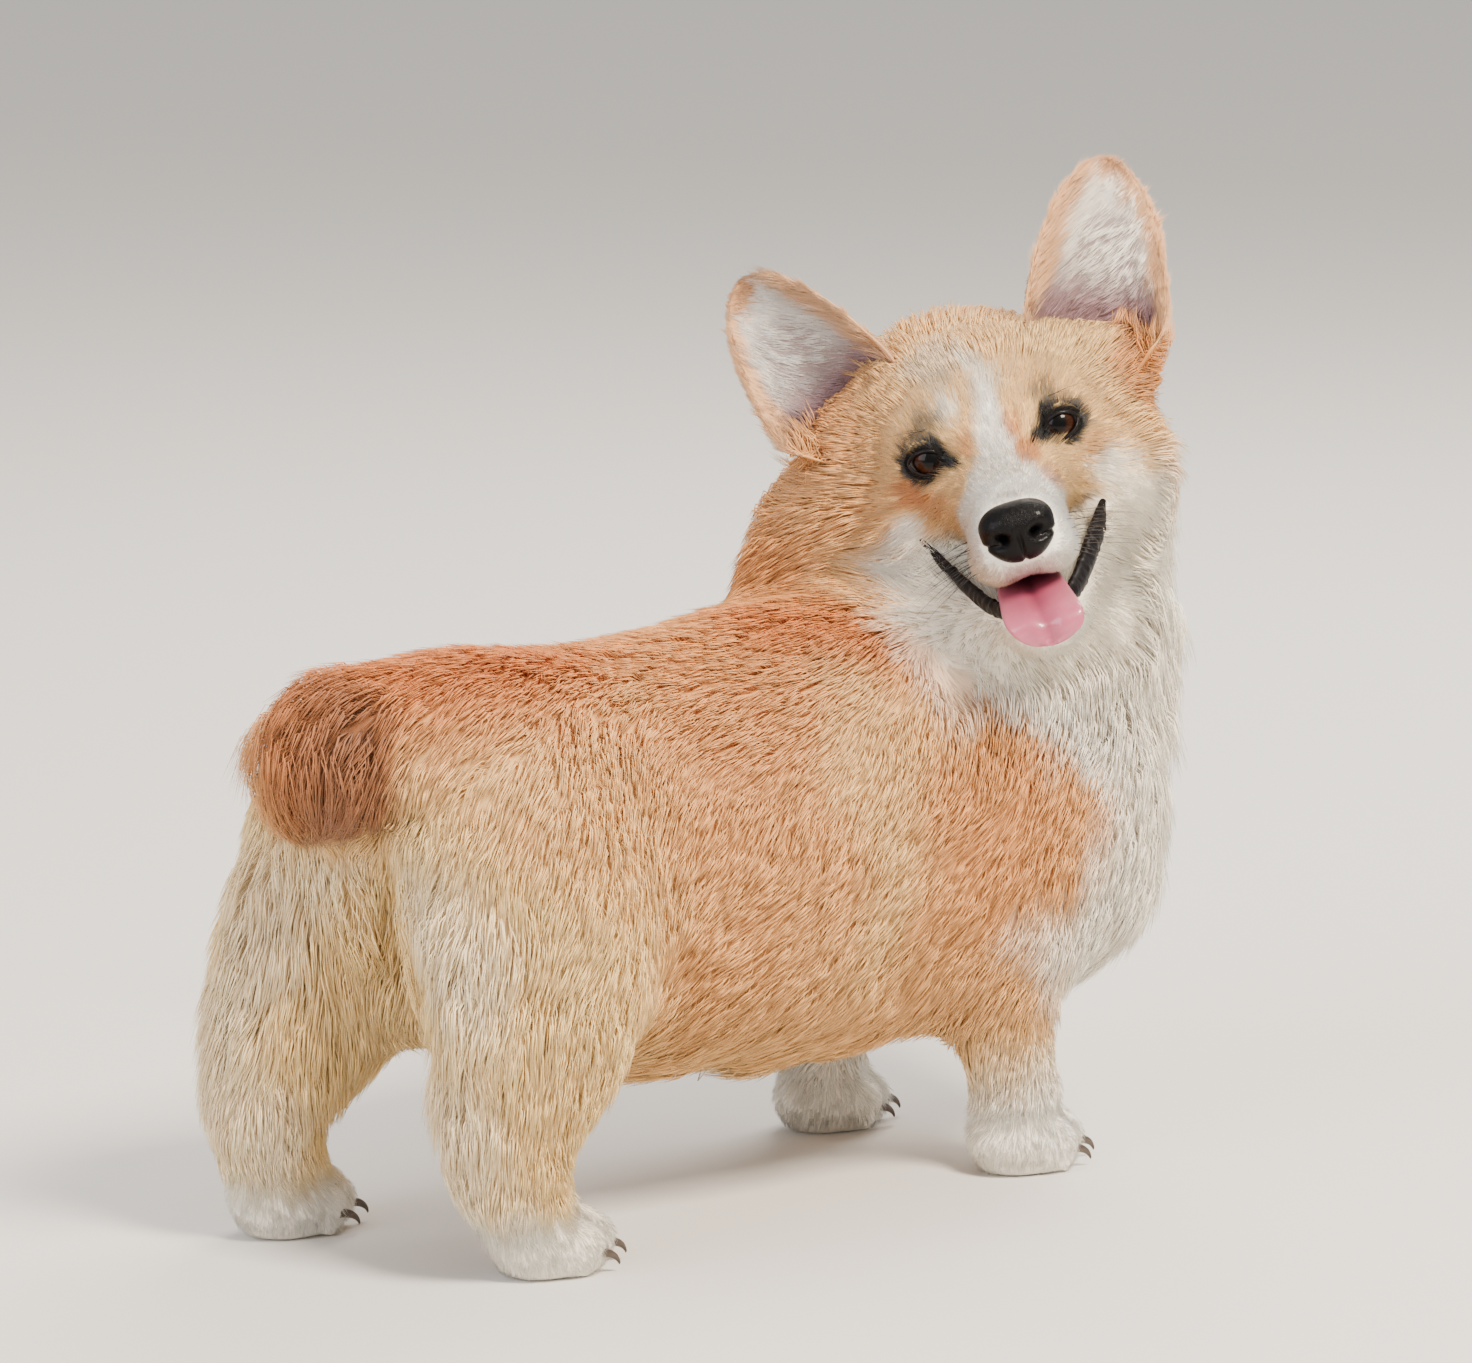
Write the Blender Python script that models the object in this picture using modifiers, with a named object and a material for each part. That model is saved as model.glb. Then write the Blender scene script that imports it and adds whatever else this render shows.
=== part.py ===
"""Pembroke welsh corgi, life-size, standing square and looking back over its right side.

Metres, +Z up. The body faces +X and its left side is +Y. The soles are at z = 0, and the finished
animal is centred over the origin. Sizes include the coat, except where fur locks are set on a core.
"""

import math
import random

import bmesh
import bpy
import numpy as np
from mathutils import Euler, Matrix, Vector
from mathutils.bvhtree import BVHTree

# Driving dimensions.
WITHERS = 0.281  # height of the back over the shoulders, coat included
SIZE = WITHERS / 0.281  # every place and size below is drawn for that height
GAP = 0.0003  # clearance between touching nodes
BODY_VOXEL = 0.0060
MASS_VOXEL = 0.0040
HEAD_VOXEL = 0.0026
PAW_VOXEL = 0.0022
BODY_FACES = 2150
HEAD_FACES = 2150
PAW_FACES = 280
SEED = 7

# Trunk sections along the spine: centre x, y, z, half width, half height. The chest swings to the right.
TRUNK = (
    (-0.226, 0.000, 0.186, 0.030, 0.036),
    (-0.208, 0.000, 0.190, 0.066, 0.070),
    (-0.170, 0.000, 0.192, 0.086, 0.092),
    (-0.100, 0.000, 0.173, 0.090, 0.101),
    (-0.015, 0.000, 0.165, 0.102, 0.109),
    (0.060, -0.004, 0.166, 0.106, 0.115),
    (0.140, -0.020, 0.167, 0.105, 0.100),
    (0.200, -0.036, 0.172, 0.093, 0.091),
    (0.236, -0.046, 0.176, 0.056, 0.062),
    (0.248, -0.050, 0.174, 0.026, 0.030),
)
# Neck sections from inside the shoulders up to the nape, widest across the turned head.
NECK = (
    (0.110, -0.015, 0.170, 0.080, 0.080),
    (0.160, -0.015, 0.215, 0.104, 0.094),
    (0.188, 0.007, 0.262, 0.104, 0.080),
    (0.194, 0.008, 0.311, 0.096, 0.077),
    (0.190, 0.004, 0.350, 0.070, 0.066),
    (0.180, -0.008, 0.385, 0.046, 0.044),
)
NECK_FRONT = (-1.0, -1.0, 0.0)  # the side of the neck that the head looks over
# Leg sections, measured from the foot: forward, outward, height, half width, half depth.
FORELEG = (
    (-0.004, -0.010, 0.215, 0.036, 0.052),
    (-0.012, 0.002, 0.165, 0.040, 0.058),
    (-0.022, 0.006, 0.122, 0.034, 0.043),
    (-0.012, 0.002, 0.086, 0.027, 0.032),
    (-0.003, 0.000, 0.052, 0.023, 0.025),
    (0.004, 0.000, 0.026, 0.022, 0.023),
)
HINDLEG = (
    (0.014, -0.020, 0.235, 0.034, 0.054),
    (0.004, -0.008, 0.185, 0.044, 0.068),
    (0.000, -0.002, 0.138, 0.045, 0.066),
    (-0.010, 0.000, 0.098, 0.040, 0.054),
    (-0.020, 0.000, 0.066, 0.030, 0.037),
    (-0.012, 0.000, 0.040, 0.025, 0.027),
    (-0.002, 0.000, 0.022, 0.023, 0.024),
)
HIP_HEIGHT = 0.235
# Where each foot stands, x and y, and how far forward its hip or shoulder is of that.
FEET = {
    "fore_right": (0.135, -0.078, 0.0),
    "fore_left": (0.135, 0.052, 0.0),
    "hind_right": (-0.174, -0.070, 0.0),
    "hind_left": (-0.204, 0.073, 0.045),
}
WRIST = 0.040  # height of the cut between leg and paw
HOCK = 0.072  # height of the cut between thigh and paw
TAIL = (
    (-0.180, 0.000, 0.248, 0.036, 0.030),
    (-0.218, 0.003, 0.252, 0.039, 0.032),
    (-0.243, 0.006, 0.237, 0.035, 0.028),
    (-0.250, 0.008, 0.206, 0.020, 0.016),
)

# The head's own frame: x out of the nose, y to its left, z up, with its origin midway between the eyes.
HEAD_PLACE = (0.137, -0.060, 0.351)
HEAD_TURN = -135.0  # looks back to the right
HEAD_DROP = -2.0  # nose up by this much, in degrees
HEAD_TILT = 16.0  # left ear higher than the right
SKULL = (
    (-0.128, 0.0, -0.006, 0.030, 0.030),
    (-0.110, 0.0, -0.004, 0.056, 0.046),
    (-0.075, 0.0, -0.003, 0.072, 0.055),
    (-0.042, 0.0, -0.006, 0.068, 0.052),
    (-0.018, 0.0, -0.010, 0.055, 0.041),
    (0.000, 0.0, -0.020, 0.0415, 0.0305),
    (0.016, 0.0, -0.0255, 0.0310, 0.0220),
    (0.040, 0.0, -0.0310, 0.0265, 0.0205),
    (0.062, 0.0, -0.0340, 0.0240, 0.0185),
    (0.076, 0.0, -0.0350, 0.0175, 0.0150),
)
JAW = (
    (-0.060, 0.0, -0.050, 0.044, 0.030),
    (-0.030, 0.0, -0.062, 0.044, 0.028),
    (0.000, 0.0, -0.070, 0.037, 0.024),
    (0.030, 0.0, -0.078, 0.029, 0.020),
    (0.054, 0.0, -0.085, 0.022, 0.016),
    (0.066, 0.0, -0.087, 0.013, 0.010),
)
# Rounded masses of the head: centre, radii, in the head's frame. Those off the midline are mirrored.
HEAD_MASSES = (
    ((-0.050, 0.044, -0.036), (0.050, 0.034, 0.040)),  # cheek
    ((-0.068, 0.056, 0.010), (0.026, 0.031, 0.025)),  # root of the ear
)
HEAD_DETAILS = (
    ((-0.010, 0.026, 0.012), (0.015, 0.016, 0.009)),  # brow
    ((0.050, 0.013, -0.043), (0.026, 0.0150, 0.013)),  # whisker pad
    ((0.068, 0.008, -0.036), (0.011, 0.0110, 0.013)),  # front of the lip, under the nose
)
# The open mouth, cut across the head: forward, height, half width, half gap.
MOUTH = (
    (-0.004, -0.0360, 0.0450, 0.0015),
    (0.006, -0.0460, 0.0465, 0.0045),
    (0.022, -0.0560, 0.0500, 0.0060),
    (0.045, -0.0630, 0.0500, 0.0080),
    (0.070, -0.0670, 0.0550, 0.0105),
    (0.100, -0.0710, 0.0600, 0.0150),
)
# The ridge of the lower lip on the left side, from the corner of the mouth round to the chin.
LIP = (
    (-0.008, 0.0470, -0.0350, 0.0025, 0.0025),
    (0.004, 0.0400, -0.0510, 0.0042, 0.0042),
    (0.020, 0.0315, -0.0640, 0.0045, 0.0045),
    (0.044, 0.0230, -0.0735, 0.0042, 0.0042),
    (0.060, 0.0100, -0.0770, 0.0036, 0.0036),
)
EYE = (-0.0045, 0.0320, 0.0)
EYE_RADIUS = 0.0106
EYE_SPLAY = 20.0  # each eye looks this far outwards, in degrees
EYE_SLANT = 12.0  # outer corner higher
LID_THICKNESS = 0.0020
EYE_OPENING = (0.0085, 0.0056)  # half width, half height
NOSE = (0.0760, 0.0, -0.0300)
NOSE_RADII = (0.0125, 0.0174, 0.0138)
NOSTRIL = ((0.0870, 0.0080, -0.0310), (0.0062, 0.0040, 0.0036))
TONGUE = (
    (0.010, -0.004, -0.0500, 0.013, 0.0030),
    (0.035, -0.004, -0.0600, 0.015, 0.0034),
    (0.062, -0.004, -0.0665, 0.017, 0.0036),
    (0.079, -0.004, -0.0715, 0.018, 0.0034),
    (0.0875, -0.005, -0.0780, 0.0185, 0.0032),
    (0.0895, -0.005, -0.0835, 0.0165, 0.0030),
    (0.0895, -0.005, -0.0870, 0.0115, 0.0026),
    (0.0893, -0.005, -0.0890, 0.0045, 0.0018),
)
# Each ear, in the head's frame: middle of the base, tip, and how far the cup turns outwards in degrees.
EARS = {
    "ear_right": ((-0.064, -0.060, 0.026), (-0.070, -0.096, 0.101), 12.0),
    "ear_left": ((-0.064, 0.058, 0.028), (-0.066, 0.088, 0.110), 2.0),
}
EAR_HALF_WIDTH = 0.034
EAR_WALL = 0.0042
EAR_ROOT = 0.16  # share of the ear's length that is sunk in the head
EAR_CUP = (115.0, 75.0)  # half angle of the cup at the root, and how much of it is lost by the tip
EAR_GRID = (10, 9)  # rows up the ear, columns across it
PAW_MASS = ((0.006, 0.0, 0.016), (0.036, 0.027, 0.021))
# Toes from one side to the other: how far sideways and forward of the foot's middle.
TOES = ((-0.0195, 0.020), (-0.0068, 0.030), (0.0068, 0.030), (0.0195, 0.020))
TOE_HEIGHT = 0.0125
TOE_RADII = (0.0170, 0.0082, 0.0135)

# Cut planes between nodes: a point, and the normal that leaves the node.
NECK_BASE = ((0.178, -0.020, 0.243), (-0.50, 0.0, -0.866))
NAPE = ((-0.074, 0.0, -0.030), (-0.84, 0.0, -0.54))  # in the head's frame, as are the next three
THROAT = ((0.0, 0.0, -0.105), (0.0, 0.0, -1.0))
HEAD_SIDES = (((-0.02, 0.084, 0), (0.41, 0.91, 0)), ((-0.02, -0.084, 0), (0.41, -0.91, 0)))
JAW_TOP = ((-0.004, 0.0, -0.037), (0.471, 0.0, 0.882))
JAW_BACK = ((-0.004, 0.0, -0.037), (-0.80, 0.0, 0.60))
TAIL_ROOT = (
    ((-0.212, 0.0, 0.240), (0.93, 0.0, 0.36)),
    ((-0.232, 0.0, 0.200), (0.55, 0.0, -0.83)),
    ((0.0, 0.050, 0.0), (0.0, 1.0, 0.0)),
    ((0.0, -0.050, 0.0), (0.0, -1.0, 0.0)),
)
# Each leg's planes, for the left side, measured from its foot.
ELBOW = (
    ((0.0, 0.0, 0.110), (0.0, -0.75, 0.66)),
    ((-0.085, 0.0, 0.0), (-1.0, 0.0, 0.0)),
    ((0.075, 0.0, 0.0), (1.0, 0.0, 0.0)),
)
THIGH_TOP = (
    ((0.0, -0.010, 0.160), (0.0, -0.80, 0.60)),
    ((0.072, 0.0, 0.150), (0.96, 0.0, 0.28)),
)

# Where the coat is long, as balls of space: centre, radii, depth of the long coat, and its locks' length,
# width and spacing. The solid core is pressed in by half that depth, and the locks fill it out again.
LONG_COAT = {
    "bib": ((0.232, -0.034, 0.205), (0.070, 0.120, 0.130), 0.022, 0.062, 0.033, 0.0275),
    "ruff_left": ((0.170, 0.070, 0.285), (0.095, 0.070, 0.085), 0.020, 0.056, 0.033, 0.028),
    "ruff_right": ((0.170, -0.115, 0.240), (0.085, 0.060, 0.055), 0.018, 0.052, 0.031, 0.027),
    "breeches_left": ((-0.228, 0.066, 0.148), (0.060, 0.070, 0.080), 0.020, 0.060, 0.030, 0.025),
    "breeches_right": ((-0.216, -0.066, 0.148), (0.060, 0.070, 0.080), 0.020, 0.060, 0.030, 0.025),
    "tail": ((-0.250, 0.004, 0.250), (0.060, 0.060, 0.056), 0.013, 0.040, 0.025, 0.025),
    "belly": ((0.000, -0.004, 0.056), (0.135, 0.095, 0.034), 0.016, 0.048, 0.034, 0.030),
    "elbow_left": ((0.088, 0.058, 0.105), (0.036, 0.036, 0.050), 0.014, 0.036, 0.024, 0.021),
    "elbow_right": ((0.088, -0.084, 0.105), (0.036, 0.036, 0.050), 0.014, 0.036, 0.024, 0.021),
}
ZONE_EDGE = 0.35  # share of a zone's radius over which the long coat fades out
FULL_COAT = 0.6  # locks grow where the long coat has at least this share of its depth
# Sections of a lock from its root on: height as a share of the coat, width as a share, half thickness.
LOCK_SECTIONS = ((-0.60, 0.62, 0.0045), (0.20, 1.0, 0.0050), (0.72, 0.78, 0.0034))
LOCK_CURL = 0.35  # a lock's tip turns by up to this, in radians, either way
LOCK_TIP = 0.0005
# Which way the coat lies: a place on the left side and the hair's direction there, mirrored for the right.
LIE = (
    ((0.000, 0.000, 0.280), (-1.00, 0.00, -0.05)),
    ((-0.050, 0.100, 0.180), (-0.90, 0.00, -0.42)),
    ((0.130, 0.105, 0.200), (-0.62, 0.00, -0.78)),
    ((0.190, 0.095, 0.310), (-0.30, 0.10, -0.95)),
    ((0.245, 0.000, 0.220), (0.04, 0.04, -1.00)),
    ((0.230, 0.030, 0.110), (-0.42, 0.00, -0.90)),
    ((0.100, 0.030, 0.060), (-0.92, 0.00, -0.38)),
    ((-0.090, 0.030, 0.070), (-0.90, 0.00, -0.42)),
    ((-0.150, 0.100, 0.170), (-0.70, 0.00, -0.70)),
    ((-0.235, 0.070, 0.150), (-0.10, 0.10, -1.00)),
    ((-0.220, 0.020, 0.130), (0.05, 0.22, -0.97)),
    ((-0.200, 0.000, 0.280), (-0.96, 0.05, -0.20)),
    ((-0.268, 0.010, 0.235), (-0.15, 0.20, -0.97)),
    ((0.095, 0.065, 0.100), (-0.35, 0.05, -0.93)),
)

COAT_COLOURS = {
    "red": (0.72, 0.36, 0.14),
    "cream": (0.86, 0.72, 0.50),
    "white": (0.90, 0.87, 0.80),
    "black": (0.02, 0.018, 0.018),
    "tongue": (0.72, 0.26, 0.33),
    "eye": (0.05, 0.028, 0.016),
}


def scaled(stations):
    return [tuple(value * SIZE for value in station) for station in stations]


def catmull(points, t):
    """The smooth curve through the rows of points, at t from 0 to 1."""
    p = np.asarray(points, float)
    place = t * (len(p) - 1)
    i = min(int(place), len(p) - 2)
    u = place - i
    a, b = p[max(i - 1, 0)], p[i]
    c, d = p[i + 1], p[min(i + 2, len(p) - 1)]
    squared, cubed = 2 * a - 5 * b + 4 * c - d, 3 * b - a - 3 * c + d
    return 0.5 * (2 * b + (c - a) * u + squared * u**2 + cubed * u**3)


def loft(stations, up, rings=28, sides=24):
    """A closed body of elliptical sections (x, y, z, half width, half height) square to its path."""
    made = bmesh.new()
    loops = []
    for k in range(rings):
        t = k / (rings - 1)
        x, y, z, half_width, half_height = catmull(stations, t)
        ahead = catmull(stations, min(t + 0.01, 1.0))[:3] - catmull(stations, max(t - 0.01, 0.0))[:3]
        along = Vector(ahead).normalized()
        left = Vector(up).cross(along).normalized()
        top = along.cross(left)
        loops.append([])
        for s in range(sides):
            angle = math.tau * s / sides
            offset = left * half_width * math.cos(angle) + top * half_height * math.sin(angle)
            loops[-1].append(made.verts.new(Vector((x, y, z)) + offset))
    for low, high in zip(loops, loops[1:]):
        for s in range(sides):
            made.faces.new((low[s], low[(s + 1) % sides], high[(s + 1) % sides], high[s]))
    made.faces.new(loops[0][::-1])
    made.faces.new(loops[-1])
    bmesh.ops.recalc_face_normals(made, faces=made.faces)
    return made


def ellipsoid(centre, radii, segments=16):
    made = bmesh.new()
    shape = Matrix.Translation(centre) @ Matrix.Diagonal((*radii, 1.0))
    bmesh.ops.create_uvsphere(made, u_segments=segments, v_segments=segments // 2, radius=1.0, matrix=shape)
    return made


def head_matrix():
    turn = Euler(map(math.radians, (0.0, 0.0, HEAD_TURN))).to_matrix()
    drop = Euler(map(math.radians, (0.0, HEAD_DROP, 0.0))).to_matrix()
    tilt = Euler(map(math.radians, (HEAD_TILT, 0.0, 0.0))).to_matrix()
    return Matrix.Translation(Vector(HEAD_PLACE) * SIZE) @ (turn @ drop @ tilt).to_4x4()


def link(name, mesh_data):
    obj = bpy.data.objects.new(name, mesh_data)
    CORGI.objects.link(obj)
    return obj


def collect(name, objects):
    """Moves objects from the model's collection into one of their own."""
    group = bpy.data.collections.new(name)
    bpy.context.scene.collection.children.link(group)
    for obj in objects:
        CORGI.objects.unlink(obj)
        group.objects.link(obj)
    return group


def as_object(name, *shapes, matrix=None):
    """One object from several bmeshes, which are used up."""
    mesh = bpy.data.meshes.new(name)
    whole = bmesh.new()
    for shape in shapes:
        if matrix is not None:
            bmesh.ops.transform(shape, matrix=matrix, verts=shape.verts)
        shape.to_mesh(mesh)
        shape.free()
        whole.from_mesh(mesh)
    whole.to_mesh(mesh)
    whole.free()
    return link(name, mesh)


def apply_modifiers(obj):
    graph = bpy.context.evaluated_depsgraph_get()
    mesh = bpy.data.meshes.new_from_object(obj.evaluated_get(graph))
    obj.modifiers.clear()
    obj.data = mesh
    return obj


def fuse(obj, voxel, smoothing, faces):
    """Overlapping bodies become one smooth surface, of about this many triangles if faces is a number."""
    remesh = obj.modifiers.new("fuse", "REMESH")
    remesh.mode = "VOXEL"
    remesh.voxel_size = voxel
    smooth = obj.modifiers.new("soften", "SMOOTH")
    smooth.iterations = smoothing
    apply_modifiers(obj)
    if faces is None:
        return obj
    triangles = sum(len(face.vertices) - 2 for face in obj.data.polygons)
    thin = obj.modifiers.new("thin", "DECIMATE")
    thin.ratio = min(1.0, faces / triangles)
    return apply_modifiers(obj)


def boolean(obj, other, operation, solver="MANIFOLD"):
    """Joins or cuts obj with another object, or with a collection of them, which is then removed."""
    change = obj.modifiers.new(operation.lower(), "BOOLEAN")
    change.operation = operation
    change.solver = solver
    if isinstance(other, bpy.types.Collection):
        change.operand_type = "COLLECTION"
        change.collection = other
    else:
        change.object = other
    apply_modifiers(obj)
    others = list(other.objects) if isinstance(other, bpy.types.Collection) else [other]
    for used in others:
        bpy.data.objects.remove(used)
    if isinstance(other, bpy.types.Collection):
        bpy.data.collections.remove(other)
    return keep_largest(obj)


def keep_largest(obj):
    """Drops loose scraps and sealed hollows, leaving the largest closed surface."""
    shape = bmesh.new()
    shape.from_mesh(obj.data)
    bmesh.ops.triangulate(shape, faces=shape.faces)
    unseen = set(shape.faces)
    bodies = []
    while unseen:
        body, edge_of = [], [unseen.pop()]
        while edge_of:
            face = edge_of.pop()
            body.append(face)
            for edge in face.edges:
                for near in edge.link_faces:
                    if near in unseen:
                        unseen.remove(near)
                        edge_of.append(near)
        bodies.append(body)
    largest = max(bodies, key=lambda body: sum(face.calc_area() for face in body))
    scraps = [face for body in bodies if body is not largest for face in body]
    bmesh.ops.delete(shape, geom=scraps, context="FACES")
    shape.to_mesh(obj.data)
    shape.free()
    return obj


def region(planes, grow):
    """A convex block inside every plane (point, outward normal), each moved out by grow."""
    block = bmesh.new()
    bmesh.ops.create_cube(block, size=2.0)
    for point, normal in planes:
        normal = Vector(normal).normalized()
        bmesh.ops.bisect_plane(
            block,
            geom=block.verts[:] + block.edges[:] + block.faces[:],
            plane_co=Vector(point) + normal * grow,
            plane_no=normal,
            clear_outer=True,
        )
        open_edges = [edge for edge in block.edges if edge.is_boundary]
        bmesh.ops.holes_fill(block, edges=open_edges, sides=0)
    bmesh.ops.recalc_face_normals(block, faces=block.faces)
    return as_object("region", block)


def copy_of(obj, name):
    return link(name, obj.data.copy())


def take(source, name, planes):
    """The node that is the part of source inside the planes. The same part, and the gap, leave source."""
    node = boolean(copy_of(source, name), region(planes, -GAP / 2), "INTERSECT")
    boolean(source, region(planes, GAP / 2), "DIFFERENCE")
    return node


def side_of(name):
    return -1 if name.endswith("right") else 1


def leg_stations(foot):
    x, y, lean = FEET[foot]
    stations = FORELEG if foot.startswith("fore") else HINDLEG
    return [(x + a + lean * c / HIP_HEIGHT, y + side_of(foot) * b, c, d, e) for a, b, c, d, e in stations]


def leg_planes(foot, planes):
    """Planes drawn for a left leg, measured from its foot, put in place for this one."""
    x, y, _ = FEET[foot]
    side = side_of(foot)
    foot_place = Vector((x, y, 0))
    turned = [((a, side * b, c), (i, side * j, k)) for (a, b, c), (i, j, k) in planes]
    return [((foot_place + Vector(point)) * SIZE, Vector(normal)) for point, normal in turned]


def ankle(foot):
    return WRIST if foot.startswith("fore") else HOCK


def level(height, normal_z):
    return (Vector((0, 0, height)) * SIZE, Vector((0, 0, normal_z)))


def in_head(plane):
    """A plane drawn in the head's frame, in place."""
    place = head_matrix()
    return (place @ (Vector(plane[0]) * SIZE), place.to_3x3() @ Vector(plane[1]))


def body_surface():
    """Trunk, neck, legs and tail as one surface, with the head in it to shape the nape."""
    shapes = [loft(scaled(TRUNK), (0, 0, 1), rings=40, sides=32), loft(scaled(NECK), NECK_FRONT)]
    for foot in FEET:
        shapes.append(loft(scaled(leg_stations(foot)), (1, 0, 0)))
    shapes.append(loft(scaled(TAIL), (0, 0, 1), rings=16, sides=20))
    body = as_object("torso", *shapes)
    head = as_object("head_shape", *head_shapes(), matrix=head_matrix())
    return fuse(joined(body, head), BODY_VOXEL, 8, BODY_FACES)


def head_planes():
    return [in_head(plane) for plane in (NAPE, THROAT, *HEAD_SIDES)]


def joined(first, second):
    shape = bmesh.new()
    shape.from_mesh(first.data)
    shape.from_mesh(second.data)
    shape.to_mesh(first.data)
    shape.free()
    bpy.data.objects.remove(second)
    return first


def head_shapes():
    return [loft(scaled(SKULL), (0, 0, 1)), loft(scaled(JAW), (0, 0, 1)), *paired(HEAD_MASSES)]


def paired(masses):
    """An ellipsoid on each side of the head for each mass."""
    places = [((x, side * y, z), radii) for (x, y, z), radii in masses for side in (1, -1)]
    return [ellipsoid(Vector(place) * SIZE, Vector(radii) * SIZE) for place, radii in places]


def lip_ridges():
    mirrored = [[(f, side * y, h, a, b) for f, y, h, a, b in LIP] for side in (1, -1)]
    return [loft(scaled(stations), (0, 0, 1), sides=10) for stations in mirrored]


def mouth_cutter():
    """The wedge of the open mouth, right across the head."""
    stations = [(f, 0.0, h, half_width, gap) for f, h, half_width, gap in MOUTH]
    return as_object("mouth", loft(scaled(stations), (0, 0, 1), rings=14, sides=16), matrix=head_matrix())


def make_head():
    """Skull, upper muzzle and cheeks, with lids round the eyes and the mouth open."""
    head = as_object("head", *head_shapes(), matrix=head_matrix())
    neck = loft(scaled(NECK), NECK_FRONT)
    trunk = loft(scaled(TRUNK), (0, 0, 1), rings=40, sides=32)
    whole = fuse(joined(head, as_object("neck_shape", neck, trunk)), MASS_VOXEL, 9, None)
    details = as_object("details", *paired(HEAD_DETAILS), *lip_ridges(), matrix=head_matrix())
    boolean(whole, region(head_planes(), 0.01 * SIZE), "INTERSECT")
    head = fuse(joined(whole, details), HEAD_VOXEL, 4, HEAD_FACES)
    boolean(head, region(head_planes(), -GAP / 2), "INTERSECT")
    for side in (1, -1):
        boolean(head, eye_shape(side, LID_THICKNESS), "UNION")
        socket = boolean(eye_shape(side, GAP), eye_opening(side), "UNION")
        boolean(head, socket, "DIFFERENCE")
    boolean(head, mouth_cutter(), "DIFFERENCE")
    boolean(head, nose_shape(GAP), "DIFFERENCE")
    return boolean(head, tongue_shape(GAP), "DIFFERENCE")


def eye_shape(side, grow):
    place = Vector((EYE[0], side * EYE[1], EYE[2])) * SIZE
    radius = EYE_RADIUS * SIZE + grow
    return as_object("eye_shape", ellipsoid(place, (radius, radius, radius)), matrix=head_matrix())


def eye_opening(side):
    """An almond seen along the gaze, cut through the lids."""
    gaze = Matrix.Rotation(math.radians(EYE_SPLAY * side), 4, "Z")
    slant = Matrix.Rotation(math.radians(EYE_SLANT * side), 4, "X")
    place = Matrix.Translation(Vector((EYE[0], side * EYE[1], EYE[2])) * SIZE) @ gaze @ slant
    half_width, half_height = EYE_OPENING
    stations = [(0.004 * k, 0.0, 0.0, half_width, half_height) for k in range(1, 9)]
    almond = loft(scaled(stations), (0, 0, 1), rings=6, sides=16)
    return as_object("opening", almond, matrix=head_matrix() @ place)


def nose_shape(grow):
    radii = [radius * SIZE + grow for radius in NOSE_RADII]
    return as_object("nose", ellipsoid(Vector(NOSE) * SIZE, radii), matrix=head_matrix())


def make_nose():
    nose = nose_shape(0.0)
    for side in (1, -1):
        (x, y, z), radii = NOSTRIL
        hole = ellipsoid(Vector((x, side * y, z)) * SIZE, Vector(radii) * SIZE, segments=10)
        boolean(nose, as_object("nostril", hole, matrix=head_matrix()), "DIFFERENCE")
    return nose


def tongue_shape(grow):
    stations = [(a, b, c, d + grow, e + grow) for a, b, c, d, e in scaled(TONGUE)]
    return as_object("tongue", loft(stations, (0, 0, 1), rings=14, sides=12), matrix=head_matrix())


def ear_outline(s):
    """Width of the ear as a share of its widest, from the sunken root through 0 to the tip at 1."""
    rounded_tip = math.sqrt(max(0.0, 1.0 - max(0.0, s) ** 3.2))
    narrow_root = 1.0 - 2.0 * max(0.0, 0.20 - s) ** 1.6
    return max((1.0 - 0.10 * s) * rounded_tip * narrow_root, 0.12)


def make_ear(name, base, tip, turn):
    """A cupped leaf: arcs of a circle, near a full turn at the root and flat at the tip."""
    base, tip = Vector(base) * SIZE, Vector(tip) * SIZE
    up = (tip - base).normalized()
    front = (Vector((1, 0, 0)) - up * up.x).normalized()
    front.rotate(Matrix.Rotation(math.radians(turn * (1 if base.y > 0 else -1)), 3, up))
    side = up.cross(front)
    rows, columns = EAR_GRID
    shape = bmesh.new()
    grid = []
    for r in range(rows):
        s = (1.0 + EAR_ROOT) * r / (rows - 1) - EAR_ROOT
        width = EAR_HALF_WIDTH * SIZE * ear_outline(s)
        half_angle = math.radians(EAR_CUP[0] - EAR_CUP[1] * max(s, 0.0) ** 0.6)
        radius = width / math.sin(min(half_angle, math.pi / 2))
        grid.append([])
        for c in range(columns):
            angle = half_angle * (2 * c / (columns - 1) - 1)
            place = base + (tip - base) * s
            place += side * radius * math.sin(angle)
            place += front * radius * (math.cos(half_angle) * 0.5 + 0.5 - math.cos(angle))
            grid[-1].append(shape.verts.new(place))
    for low, high in zip(grid, grid[1:]):
        for c in range(columns - 1):
            shape.faces.new((low[c], low[c + 1], high[c + 1], high[c]))
    ear = as_object(name, shape, matrix=head_matrix())
    wall = ear.modifiers.new("wall", "SOLIDIFY")
    wall.thickness = EAR_WALL * SIZE
    wall.offset = 0.0
    return apply_modifiers(ear)


def make_paw(name, foot):
    x, y, _ = FEET[foot]
    place = Vector((x, y, 0))
    middle, radii = PAW_MASS
    shapes = [loft(scaled(leg_stations(foot)[-4:]), (1, 0, 0))]
    shapes.append(ellipsoid((place + Vector(middle)) * SIZE, Vector(radii) * SIZE))
    for spread, reach in TOES:
        toe = (place + Vector((reach, spread, TOE_HEIGHT))) * SIZE
        shapes.append(ellipsoid(toe, Vector(TOE_RADII) * SIZE, segments=14))
    paw = fuse(as_object(name, *shapes), PAW_VOXEL, 3, PAW_FACES)
    planes = [level(-GAP / 2, -1), level(ankle(foot), 1)]
    return boolean(paw, region(planes, -GAP / 2), "INTERSECT")


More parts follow.
